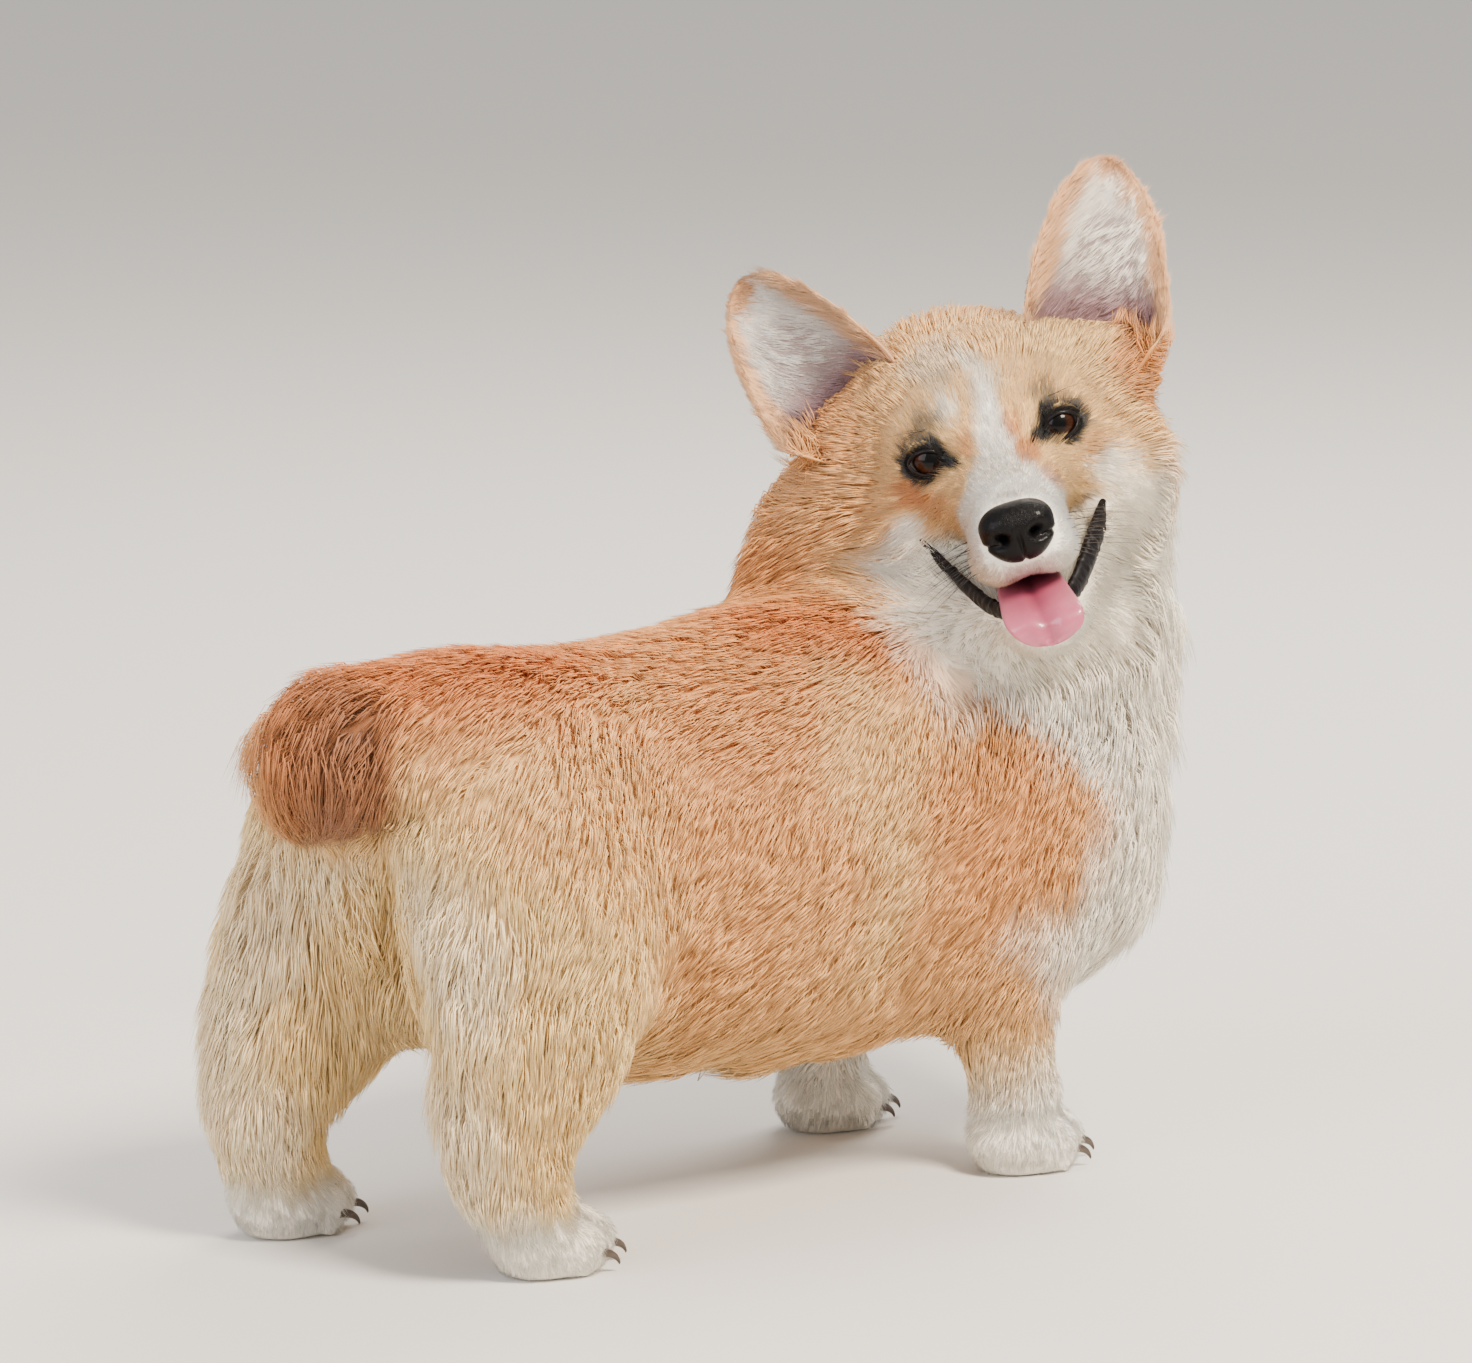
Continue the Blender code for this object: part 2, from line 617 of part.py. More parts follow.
def paint(obj, colour, roughness):
    finish = bpy.data.materials.get(colour) or bpy.data.materials.new(colour)
    finish.use_nodes = True
    shader = finish.node_tree.nodes["Principled BSDF"]
    shader.inputs["Base Color"].default_value = (*COAT_COLOURS[colour], 1.0)
    shader.inputs["Roughness"].default_value = roughness
    obj.data.materials.clear()
    obj.data.materials.append(finish)


def trim(obj, neighbour):
    """Cuts obj clear of a neighbour, by the gap."""
    tool = copy_of(neighbour, "tool")
    swell = tool.modifiers.new("swell", "DISPLACE")
    swell.strength = GAP
    swell.mid_level = 0.0
    return boolean(obj, apply_modifiers(tool), "DIFFERENCE")


def coat_depth(place):
    """Depth of the long coat over a place on the animal, and the zone that gives it."""
    found, best = None, 0.0
    for name, (middle, radii, depth, *_) in LONG_COAT.items():
        off = Vector([(place[k] / SIZE - middle[k]) / radii[k] for k in range(3)]).length
        here = depth * SIZE * min(1.0, max(0.0, (1.0 - off) / ZONE_EDGE))
        if here > best:
            found, best = name, here
    return best, found


def lie_at(place, normal):
    """Direction of the hair at a place: the nearest guides' mean, laid along the surface."""
    total = Vector()
    for at, direction in LIE:
        for side in (1, -1):
            away = place / SIZE - Vector((at[0], side * at[1], at[2]))
            share = (away.length_squared + 1e-5) ** -1.5
            total += Vector((direction[0], side * direction[1], direction[2])) * share
    return (total - normal * total.dot(normal)).normalized()


def lock(place, core, coat, length, width):
    """A flat, tapered lock that leaves the core and bends along the lie out to the face of the coat."""
    shape = bmesh.new()
    rings = []
    curl = random.uniform(-LOCK_CURL, LOCK_CURL)
    for k, (rise, wide, thick) in enumerate(LOCK_SECTIONS):
        on_core, normal, _, _ = core.find_nearest(place)
        depth = coat.find_nearest(on_core)[3]
        along = lie_at(on_core, normal)
        along.rotate(Matrix.Rotation(curl * k / 2, 3, normal))
        middle = on_core + normal * rise * depth
        half = normal.cross(along) * width / 2 * wide
        up = normal * thick * SIZE
        rings.append([shape.verts.new(middle + side) for side in (half, up, -half, -up)])
        place = on_core + along * length / 3
    on_core, normal, _, _ = core.find_nearest(place)
    tip = shape.verts.new(coat.find_nearest(on_core)[0] + normal * LOCK_TIP)
    for low, high in zip(rings, rings[1:]):
        for s in range(4):
            shape.faces.new((low[s], low[(s + 1) % 4], high[(s + 1) % 4], high[s]))
    shape.faces.new(rings[0][::-1])
    for s in range(4):
        shape.faces.new((rings[-1][s], rings[-1][(s + 1) % 4], tip))
    bmesh.ops.triangulate(shape, faces=shape.faces)
    bmesh.ops.recalc_face_normals(shape, faces=shape.faces)
    return shape


def tree_of(obj):
    shape = bmesh.new()
    shape.from_mesh(obj.data)
    tree = BVHTree.FromBMesh(shape)
    shape.free()
    return tree


def dress(body):
    """Presses the core in under the long coat and roots the locks on it."""
    coat = tree_of(body)
    moved = [(vertex, vertex.normal.copy(), coat_depth(vertex.co)[0]) for vertex in body.data.vertices]
    for vertex, normal, depth in moved:
        vertex.co = vertex.co - normal * depth / 2
    core = tree_of(body)
    places = [face.center.copy() for face in body.data.polygons]
    random.shuffle(places)
    roots = []
    for place in places:
        depth, zone = coat_depth(coat.find_nearest(place)[0])
        if zone is None or depth < FULL_COAT * LONG_COAT[zone][2] * SIZE:
            continue
        length, width, spacing = (size * SIZE for size in LONG_COAT[zone][3:])
        if all((place - other).length > spacing for other, _, _ in roots):
            roots.append((place, length * random.uniform(0.9, 1.1), width * random.uniform(0.9, 1.1)))
    locks = [as_object("lock", lock(place, core, coat, length, width)) for place, length, width in roots]
    return boolean(body, collect("locks", locks), "UNION")


def centre(objects):
    """Moves everything so that the middle of the whole box is over the origin."""
    corners = np.array([vertex.co for obj in objects for vertex in obj.data.vertices])
    middle = (corners.min(axis=0) + corners.max(axis=0)) / 2
    for obj in objects:
        obj.data.transform(Matrix.Translation((-middle[0], -middle[1], 0.0)))


def main():
    head = make_head()
    jaw = take(head, "jaw", [in_head(JAW_TOP), in_head(JAW_BACK)])
    ears = [trim(make_ear(name, *sizes), head) for name, sizes in EARS.items()]
    eyes = [eye_shape(side, 0.0) for side in (1, -1)]
    eyes[0].name, eyes[1].name = "eye_left", "eye_right"
    tongue = tongue_shape(0.0)
    nose = make_nose()

    body = dress(body_surface())
    boolean(body, region(head_planes(), GAP / 2), "DIFFERENCE")
    neck = take(body, "neck", [NECK_BASE])
    tail = take(body, "tail", TAIL_ROOT)
    legs = []
    for foot in FEET:
        fore = foot.startswith("fore")
        name = foot.replace("fore", "foreleg") if fore else foot.replace("hind", "thigh")
        planes = [*leg_planes(foot, ELBOW if fore else THIGH_TOP), level(ankle(foot), -1)]
        legs.append(take(body, name, planes))
        below = [*leg_planes(foot, ELBOW if fore else THIGH_TOP), level(ankle(foot), 1)]
        boolean(body, region(below, GAP), "DIFFERENCE")
    paws = [make_paw(foot.replace("_", "paw_"), foot) for foot in FEET]
    for obj in (body, neck, tail, *legs, *ears):
        paint(obj, "red", 0.9)
    for obj in (head, jaw):
        paint(obj, "cream", 0.9)
    for obj in paws:
        paint(obj, "white", 0.9)
    for obj in eyes:
        paint(obj, "eye", 0.1)
    paint(nose, "black", 0.35)
    paint(tongue, "tongue", 0.4)
    centre(list(CORGI.objects))


for old in list(bpy.data.objects):
    bpy.data.objects.remove(old)
CORGI = bpy.data.collections.new("corgi")
bpy.context.scene.collection.children.link(CORGI)
random.seed(SEED)
main()
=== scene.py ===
"""Pembroke welsh corgi, life-size: its skin, face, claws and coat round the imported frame, with the studio.

It is laid out as an add-on and run as a script. Metres, +Z up, the body faces +X and its left side is +Y.
The head has its own frame: x out of the nose, y to its left, z up, from midway between the eyes.
"""

import math

import bmesh
import bpy
import numpy as np
from mathutils import Euler, Matrix, Vector
from mathutils.bvhtree import BVHTree
from mathutils.kdtree import KDTree


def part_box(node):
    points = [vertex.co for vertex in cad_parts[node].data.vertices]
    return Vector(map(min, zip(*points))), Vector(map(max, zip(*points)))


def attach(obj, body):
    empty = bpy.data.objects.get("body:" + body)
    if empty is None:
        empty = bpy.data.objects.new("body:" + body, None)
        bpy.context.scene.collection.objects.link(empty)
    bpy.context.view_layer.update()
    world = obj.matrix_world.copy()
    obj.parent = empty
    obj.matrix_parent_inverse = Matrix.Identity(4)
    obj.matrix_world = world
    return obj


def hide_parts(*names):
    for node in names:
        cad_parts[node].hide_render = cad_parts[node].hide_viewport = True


bl_info = {
    "name": "Pembroke welsh corgi",
    "version": (1, 0, 0),
    "blender": (4, 5, 0),
    "location": "View3D > Sidebar > Corgi",
    "description": "Skin, face, claws, coat and studio of a life-size still model",
    "category": "Add Mesh",
}

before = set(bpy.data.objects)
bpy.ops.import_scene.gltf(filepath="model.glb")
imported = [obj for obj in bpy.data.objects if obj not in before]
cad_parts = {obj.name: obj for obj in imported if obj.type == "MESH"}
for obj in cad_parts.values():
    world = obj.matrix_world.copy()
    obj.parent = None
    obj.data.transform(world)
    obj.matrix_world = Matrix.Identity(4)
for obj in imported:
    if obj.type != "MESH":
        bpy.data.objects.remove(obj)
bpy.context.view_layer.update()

# The nodes of flesh that the one skin stands for.
FLESH = ("torso", "neck", "tail", "head", "jaw", "ear_left", "ear_right") + tuple(
    f"{part}_{side}" for part in ("foreleg", "thigh", "forepaw", "hindpaw") for side in ("left", "right")
)
SEED = 11

# The head's place, as drawn for the frame before it was centred over the origin.
HEAD_PLACE = Vector((0.137, -0.060, 0.351))
HEAD_TURN, HEAD_DROP, HEAD_TILT = -135.0, -2.0, 16.0
EYE = Vector((-0.0045, 0.0320, 0.0))
EYE_RADIUS = 0.0106
EYE_SPLAY = 7.0
EYE_SLANT = 8.0
EYE_OPENING = (0.0088, 0.0058)

NOSE = Vector((0.0768, 0.0, -0.0338))
NOSE_RADII = (0.0120, 0.0176, 0.0144)

# Camera of the photograph.
CAMERA_TURN, CAMERA_HEIGHT = -45.0, 10.0
CAMERA_REACH = 4.5
PIXELS_PER_METRE = 2100.0
PHOTO_WIDTH = 1472
LOOK_RIGHT, LOOK_UP = 0.0167, 0.2418


def linear(hex_colour):
    """An sRGB hex colour as linear red, green and blue."""
    values = [int(hex_colour[i : i + 2], 16) / 255 for i in (1, 3, 5)]
    return tuple(v / 12.92 if v <= 0.04045 else ((v + 0.055) / 1.055) ** 2.4 for v in values)


def box_centre(node):
    low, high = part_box(node)
    return (Vector(low) + Vector(high)) / 2


def head_rotation():
    turns = ((0, 0, HEAD_TURN), (0, HEAD_DROP, 0), (HEAD_TILT, 0, 0))
    turn, drop, tilt = (Euler([math.radians(angle) for angle in angles]).to_matrix() for angles in turns)
    return turn @ drop @ tilt


HEAD_TURNED = head_rotation()
EYES_MIDDLE = (box_centre("eye_left") + box_centre("eye_right")) / 2
HEAD_ORIGIN = EYES_MIDDLE - HEAD_TURNED @ Vector((EYE.x, 0, EYE.z))
MOVE = HEAD_ORIGIN - HEAD_PLACE  # how far the frame was moved to centre it
HEAD = Matrix.Translation(HEAD_ORIGIN) @ HEAD_TURNED.to_4x4()


# ---------------------------------------------------------------- small tools


def smooth(value, low, high):
    """0 below low and 1 above high, with an eased step between."""
    t = np.clip((value - low) / (high - low), 0.0, 1.0)
    return t * t * (3 - 2 * t)


def mix(a, b, share):
    """Rows of a where the share is 0 and of b where it is 1, with one share to a row."""
    return a + (b - a) * np.asarray(share)[..., None]


def between(a, b, share):
    """The same for plain numbers."""
    return a + (b - a) * share


def unit(vectors):
    return vectors / np.maximum(np.linalg.norm(vectors, axis=-1, keepdims=True), 1e-9)


def to_head(points):
    return (points - np.array(HEAD_ORIGIN)) @ np.array(HEAD_TURNED)


def to_body(points):
    """Places as drawn, before the frame was centred."""
    return points - np.array(MOVE)


def ball(points, centre, radii):
    """1 in the middle of a ball of space and 0 from its edge outwards."""
    off = np.linalg.norm((points - np.array(centre)) / np.array(radii), axis=-1)
    return 1.0 - smooth(off, 0.35, 1.0)


def activate(obj):
    for other in bpy.context.selected_objects:
        other.select_set(False)
    bpy.context.view_layer.objects.active = obj
    obj.select_set(True)
    return obj


def add_modifier(obj, kind, **settings):
    """Adds a modifier with these settings and applies it."""
    activate(obj)
    bpy.ops.object.modifier_add(type=kind)
    modifier = obj.modifiers[-1]
    for name, value in settings.items():
        setattr(modifier, name, value)
    bpy.ops.object.modifier_apply(modifier=modifier.name)
    return obj


def new_object(name, mesh):
    obj = bpy.data.objects.new(name, mesh)
    bpy.context.scene.collection.objects.link(obj)
    return obj


def mesh_object(name, points, faces):
    mesh = bpy.data.meshes.new(name)
    mesh.from_pydata([tuple(point) for point in points], [], [tuple(face) for face in faces])
    return new_object(name, mesh)


def points_of(mesh, what="co"):
    values = np.empty(len(mesh.vertices) * 3)
    source = mesh.vertices if what == "co" else mesh.vertex_normals
    source.foreach_get("co" if what == "co" else "vector", values)
    return values.reshape(-1, 3)


def set_points(mesh, points):
    mesh.vertices.foreach_set("co", np.asarray(points, np.float32).ravel())
    mesh.update()


def edges_of(mesh):
    values = np.empty(len(mesh.edges) * 2, np.int64)
    mesh.edges.foreach_get("vertices", values)
    return values.reshape(-1, 2)


def relax(mesh, rounds):
    """Draws each vertex to its neighbours' mean, as many times as its own number of rounds."""
    points, edges = points_of(mesh), edges_of(mesh)
    a, b = np.concatenate([edges, edges[:, ::-1]]).T
    count = np.maximum(np.bincount(a, minlength=len(points)), 1)
    for step in range(int(rounds.max())):
        mean = np.stack([np.bincount(a, points[b, k], minlength=len(points)) / count for k in range(3)], 1)
        points += (mean - points) * np.clip(rounds - step, 0, 1)[:, None] * 0.5
    set_points(mesh, points)


def set_colours(mesh, colours, name="coat_colour"):
    layer = mesh.color_attributes.get(name) or mesh.color_attributes.new(name, "FLOAT_COLOR", "POINT")
    layer.data.foreach_set("color", np.hstack([colours, np.ones((len(colours), 1))]).astype(np.float32).ravel())


def shade_smooth(mesh):
    mesh.polygons.foreach_set("use_smooth", np.ones(len(mesh.polygons), bool))
    mesh.update()


def place_in_head(obj):
    obj.data.transform(HEAD)
    obj.data.update()
    return obj


def tube(name, centres, sides, ups, closed=False):
    """A tube through centres, with its own half widths along sides and ups at each."""
    rings = len(centres)
    around = 12
    points, faces = [], []
    for middle, side, up in zip(centres, sides, ups):
        for k in range(around):
            angle = math.tau * k / around
            points.append(Vector(middle) + Vector(side) * math.cos(angle) + Vector(up) * math.sin(angle))
    for r in range(rings if closed else rings - 1):
        for k in range(around):
            near, far = r * around, (r + 1) % rings * around
            faces.append((near + k, near + (k + 1) % around, far + (k + 1) % around, far + k))
    if not closed:
        faces.append(tuple(range(around))[::-1])
        faces.append(tuple((rings - 1) * around + k for k in range(around)))
    obj = mesh_object(name, points, faces)
    shape = bmesh.new()
    shape.from_mesh(obj.data)
    bmesh.ops.recalc_face_normals(shape, faces=shape.faces)
    shape.to_mesh(obj.data)
    shape.free()
    shade_smooth(obj.data)
    return obj


def curve_through(rows, count):
    """Evenly numbered places on the smooth curve through the rows."""
    rows = np.asarray(rows, float)
    out = []
    for t in np.linspace(0, len(rows) - 1, count):
        i = min(int(t), len(rows) - 2)
        u = t - i
        a, b, c, d = rows[max(i - 1, 0)], rows[i], rows[i + 1], rows[min(i + 2, len(rows) - 1)]
        squared, cubed = 2 * a - 5 * b + 4 * c - d, 3 * b - a - 3 * c + d
        out.append(0.5 * (2 * b + (c - a) * u + squared * u * u + cubed * u**3))
    return np.array(out)


# ---------------------------------------------------------------- finishes


def add_node(tree, kind, inputs=None, **settings):
    made = tree.nodes.new(kind)
    for name, value in settings.items():
        setattr(made, name, value)
    for name, value in (inputs or {}).items():
        if isinstance(value, bpy.types.NodeSocket):
            tree.links.new(value, made.inputs[name])
        else:
            made.inputs[name].default_value = value
    return made


def finish(name, settings, colour=None, attribute=None):
    """A material with its shader set, and its colour either plain or from an attribute."""
    material = bpy.data.materials.new(name)
    material.use_nodes = True
    tree = material.node_tree
    shader = tree.nodes["Principled BSDF"]
    for socket, value in settings.items():
        shader.inputs[socket].default_value = value
    if colour is not None:
        shader.inputs["Base Color"].default_value = (*linear(colour), 1.0)
    if attribute is not None:
        source = add_node(tree, "ShaderNodeAttribute", attribute_name=attribute)
        tree.links.new(source.outputs["Color"], shader.inputs["Base Color"])
    return material


def add_bump(material, pattern_output, strength, distance):
    tree = material.node_tree
    bump = add_node(
        tree, "ShaderNodeBump", {"Height": pattern_output, "Strength": strength, "Distance": distance}
    )
    tree.links.new(bump.outputs["Normal"], tree.nodes["Principled BSDF"].inputs["Normal"])


def object_place(tree):
    return add_node(tree, "ShaderNodeTexCoord").outputs["Object"]


def guard_hair():
    """Guard hair of the double coat: matt with a soft sheen, its colour carried on each tuft."""
    return finish(
        "guard_hair",
        {"Roughness": 0.62, "Specular IOR Level": 0.14, "Sheen Weight": 0.08, "Sheen Roughness": 0.45},
        attribute="coat_colour",
    )


def under_fur():
    """Woolly undercoat close on the skin, seen only between tufts, as a fine felt."""
    material = finish("under_fur", {"Roughness": 0.85, "Specular IOR Level": 0.15}, attribute="coat_colour")
    tree = material.node_tree
    felt = add_node(
        tree, "ShaderNodeTexNoise", {"Vector": object_place(tree), "Scale": 900.0, "Detail": 3.0}
    )
    add_bump(material, felt.outputs["Fac"], 0.5, 0.0008)
    return material


def nose_leather():
    """Hairless nose leather: black, damp, with pebbles about 0.9 mm across."""
    material = finish(
        "nose_leather", {"Roughness": 0.38, "Specular IOR Level": 0.10, "Coat Weight": 0.08, "Coat Roughness": 0.10},
        colour="#050405",
    )
    tree = material.node_tree
    pebbles = add_node(
        tree, "ShaderNodeTexVoronoi", {"Vector": object_place(tree), "Scale": 1100.0}, feature="DISTANCE_TO_EDGE"
    )
    add_bump(material, pebbles.outputs["Distance"], 0.55, 0.0006)
    return material


def lip_skin():
    """Bare lip and eyelid skin: black-brown, wet, with soft beads about 1.5 mm apart."""
    material = finish(
        "lip_skin", {"Roughness": 0.45, "Specular IOR Level": 0.12, "Coat Weight": 0.07, "Coat Roughness": 0.10},
        colour="#0d090a",
    )
    tree = material.node_tree
    beads = add_node(
        tree, "ShaderNodeTexNoise", {"Vector": object_place(tree), "Scale": 650.0, "Detail": 2.0}
    )
    add_bump(material, beads.outputs["Fac"], 0.4, 0.0006)
    return material


def tongue_flesh():
    """Wet muscle of the tongue: mauve-pink with fine papillae 0.5 mm apart."""
    material = finish(
        "tongue_flesh",
        {"Roughness": 0.34, "Specular IOR Level": 0.4, "Coat Weight": 0.6, "Coat Roughness": 0.08,
         "Subsurface Weight": 0.15, "Subsurface Radius": (0.004, 0.0015, 0.001), "Subsurface Scale": 1.0},
        attribute="flesh_colour",
    )
    tree = material.node_tree
    papillae = add_node(tree, "ShaderNodeTexVoronoi", {"Vector": object_place(tree), "Scale": 1900.0})
    add_bump(material, papillae.outputs["Distance"], 0.25, 0.0003)
    return material


def wet_eye():
    """Eye under its clear wet cornea: the coat gives the sharp highlight."""
    return finish(
        "wet_eye", {"Roughness": 0.4, "Specular IOR Level": 0.03, "Coat Weight": 0.38, "Coat Roughness": 0.02, "Coat IOR": 1.38},
        attribute="eye_colour",
    )


def claw_horn():
    """Keratin of the claws: dark horn, smooth, with streaks along it."""
    material = finish("claw_horn", {"Roughness": 0.32, "Specular IOR Level": 0.5}, colour="#3a302a")
    tree = material.node_tree
    streaks = add_node(
        tree, "ShaderNodeTexNoise", {"Vector": object_place(tree), "Scale": 500.0, "Detail": 4.0}
    )
    ramp = add_node(tree, "ShaderNodeValToRGB", {"Fac": streaks.outputs["Fac"]})
    ramp.color_ramp.elements[0].color = (*linear("#2a221e"), 1)
    ramp.color_ramp.elements[1].color = (*linear("#5b4c40"), 1)
    tree.links.new(ramp.outputs["Color"], tree.nodes["Principled BSDF"].inputs["Base Color"])
    return material


def whisker_keratin():
    """Stiff whisker hair: dark, smooth and slightly glossy."""
    return finish("whisker_keratin", {"Roughness": 0.4, "Specular IOR Level": 0.4}, colour="#2a2320")


def studio_floor():
    """Seamless painted floor of a studio, pale and matt."""
    material = finish("studio_floor", {"Roughness": 0.8, "Specular IOR Level": 0.2}, colour="#dcdad6")
    return material


# ---------------------------------------------------------------- coat: how long, how deep, how it lies

# Zones of the coat, later ones over earlier: frame, centre, radii, then the tufts' length, the height of
# their tips over the skin, their width, how many to a square centimetre, and how far the skin lies in.
COAT_BASE = (0.022, 0.0072, 0.00080, 25.0, 0.0052)
COAT_ZONES = (
    ("body", (0.190, 0.000, 0.290), (0.120, 0.160, 0.130), (0.040, 0.0165, 0.00095, 21.0, 0.0030)),  # neck
    ("body", (0.232, -0.040, 0.195), (0.085, 0.130, 0.140), (0.040, 0.0135, 0.00095, 21.0, 0.0040)),  # bib
    ("body", (-0.222, 0.000, 0.140), (0.075, 0.160, 0.090), (0.036, 0.0120, 0.00090, 24.0, 0.0060)),  # breeches
    ("body", (0.000, 0.000, 0.052), (0.180, 0.110, 0.040), (0.034, 0.0105, 0.00095, 20.0, 0.0060)),  # belly
    ("body", (-0.226, -0.010, 0.194), (0.040, 0.060, 0.022), (0.013, 0.0050, 0.00080, 34.0, 0.0060)),  # under the tail
    ("body", (-0.208, -0.005, 0.158), (0.034, 0.013, 0.050), (0.017, 0.0045, 0.00085, 30.0, 0.0060)),  # the cleft
    ("body", (-0.243, 0.004, 0.250), (0.056, 0.060, 0.048), (0.034, 0.0175, 0.00080, 32.0, 0.0040)),  # tail
    ("body", (0.130, 0.062, 0.060), (0.060, 0.050, 0.050), (0.015, 0.0042, 0.00075, 36.0, 0.0040)),  # forelegs
    ("body", (0.130, -0.086, 0.060), (0.060, 0.050, 0.050), (0.015, 0.0042, 0.00075, 36.0, 0.0040)),
    ("body", (-0.190, 0.075, 0.045), (0.075, 0.055, 0.045), (0.016, 0.0045, 0.00075, 36.0, 0.0040)),  # hocks
    ("body", (-0.170, -0.075, 0.045), (0.075, 0.055, 0.045), (0.016, 0.0045, 0.00075, 36.0, 0.0040)),
    ("body", (0.140, 0.058, 0.014), (0.065, 0.050, 0.036), (0.0070, 0.0020, 0.00060, 85.0, 0.0022)),  # forepaws
    ("body", (0.140, -0.082, 0.014), (0.065, 0.050, 0.036), (0.0070, 0.0020, 0.00060, 85.0, 0.0022)),
    ("body", (-0.190, 0.075, 0.014), (0.070, 0.050, 0.036), (0.0070, 0.0020, 0.00060, 85.0, 0.0022)),  # hind paws
    ("body", (-0.165, -0.072, 0.014), (0.070, 0.050, 0.036), (0.0070, 0.0020, 0.00060, 85.0, 0.0022)),
    ("head", (-0.020, 0.000, -0.010), (0.110, 0.120, 0.090), (0.0135, 0.0042, 0.00055, 80.0, 0.0040)),  # head
    ("head", (-0.060, 0.075, -0.030), (0.070, 0.045, 0.060), (0.026, 0.0125, 0.00075, 48.0, 0.0025)),  # ruff
    ("head", (-0.060, -0.075, -0.030), (0.070, 0.045, 0.060), (0.024, 0.0100, 0.00075, 48.0, 0.0030)),
    ("head", (-0.058, 0.046, 0.036), (0.030, 0.026, 0.024), (0.024, 0.0080, 0.00060, 90.0, 0.0030)),  # ear roots
    ("head", (-0.058, -0.046, 0.036), (0.030, 0.026, 0.024), (0.024, 0.0080, 0.00060, 90.0, 0.0030)),
    ("head", (0.020, 0.000, -0.020), (0.070, 0.050, 0.050), (0.0062, 0.0018, 0.00045, 200.0, 0.0020)),  # face
    ("head", (0.062, 0.000, -0.040), (0.050, 0.050, 0.045), (0.0040, 0.0012, 0.00038, 330.0, 0.0014)),  # muzzle
    ("head", (0.058, 0.000, -0.094), (0.032, 0.030, 0.018), (0.0110, 0.0036, 0.00050, 170.0, 0.0020)),  # chin
    ("head", (-0.0045, 0.032, 0.0), (0.019, 0.018, 0.016), (0.0036, 0.0010, 0.00038, 360.0, 0.0012)),  # lids
    ("head", (-0.0045, -0.032, 0.0), (0.019, 0.018, 0.016), (0.0036, 0.0010, 0.00038, 360.0, 0.0012)),
)
LENGTH, HEIGHT, WIDTH, NUMBER, SINK = range(5)

# Which way the hair lies: a place on the left and the direction there, mirrored for the right.
BODY_LIE = (
    ((0.000, 0.000, 0.280), (-1.00, 0.00, -0.05)),
    ((-0.050, 0.100, 0.180), (-0.90, 0.00, -0.42)),
    ((0.060, 0.110, 0.160), (-0.80, 0.00, -0.60)),
    ((0.130, 0.105, 0.200), (-0.62, 0.00, -0.78)),
    ((0.190, 0.095, 0.310), (-0.30, 0.10, -0.95)),
    ((0.245, 0.000, 0.220), (0.04, 0.04, -1.00)),
    ((0.230, 0.030, 0.110), (-0.42, 0.00, -0.90)),
    ((0.100, 0.030, 0.060), (-0.92, 0.00, -0.38)),
    ((-0.090, 0.030, 0.070), (-0.90, 0.00, -0.42)),
    ((-0.150, 0.100, 0.170), (-0.62, 0.00, -0.78)),
    ((-0.160, 0.090, 0.100), (-0.30, 0.00, -0.95)),
    ((-0.235, 0.070, 0.150), (-0.10, 0.10, -1.00)),
    ((-0.220, 0.020, 0.130), (0.05, 0.22, -0.97)),
    ((-0.200, 0.000, 0.280), (-0.96, 0.05, -0.20)),
    ((-0.268, 0.010, 0.235), (-0.15, 0.20, -0.97)),
    ((0.095, 0.065, 0.100), (-0.35, 0.05, -0.93)),
    ((0.135, 0.085, 0.060), (-0.10, 0.00, -1.00)),
    ((0.155, 0.060, 0.030), (0.55, 0.00, -0.80)),
    ((-0.190, 0.080, 0.060), (-0.05, 0.00, -1.00)),
    ((-0.165, 0.075, 0.030), (0.60, 0.00, -0.80)),
)
HEAD_LIE = (
    ((0.065, 0.000, -0.018), (-1.00, 0.05, 0.10)),
    ((0.030, 0.004, -0.008), (-1.00, 0.05, 0.20)),
    ((0.000, 0.004, 0.012), (-0.75, 0.10, 0.65)),
    ((-0.015, 0.030, 0.018), (-0.70, 0.30, 0.60)),
    ((-0.040, 0.006, 0.048), (-1.00, 0.05, 0.10)),
    ((-0.090, 0.006, 0.045), (-0.80, 0.05, -0.60)),
    ((0.055, 0.026, -0.040), (-0.90, 0.25, -0.35)),
    ((0.020, 0.030, -0.030), (-0.90, 0.30, -0.30)),
    ((-0.002, 0.044, -0.018), (-0.80, 0.45, -0.40)),
    ((-0.025, 0.052, 0.004), (-0.85, 0.50, -0.05)),
    ((-0.045, 0.070, -0.020), (-0.80, 0.30, -0.50)),
    ((-0.045, 0.070, -0.060), (-0.72, 0.15, -0.68)),
    ((-0.055, 0.040, 0.040), (-0.55, 0.50, 0.70)),
    ((-0.050, 0.065, 0.020), (-0.70, 0.60, 0.20)),
    ((0.010, 0.040, -0.070), (-0.80, 0.20, -0.55)),
    ((0.055, 0.010, -0.095), (-0.80, 0.05, -0.60)),
    ((0.000, 0.010, -0.105), (-0.70, 0.05, -0.70)),
)

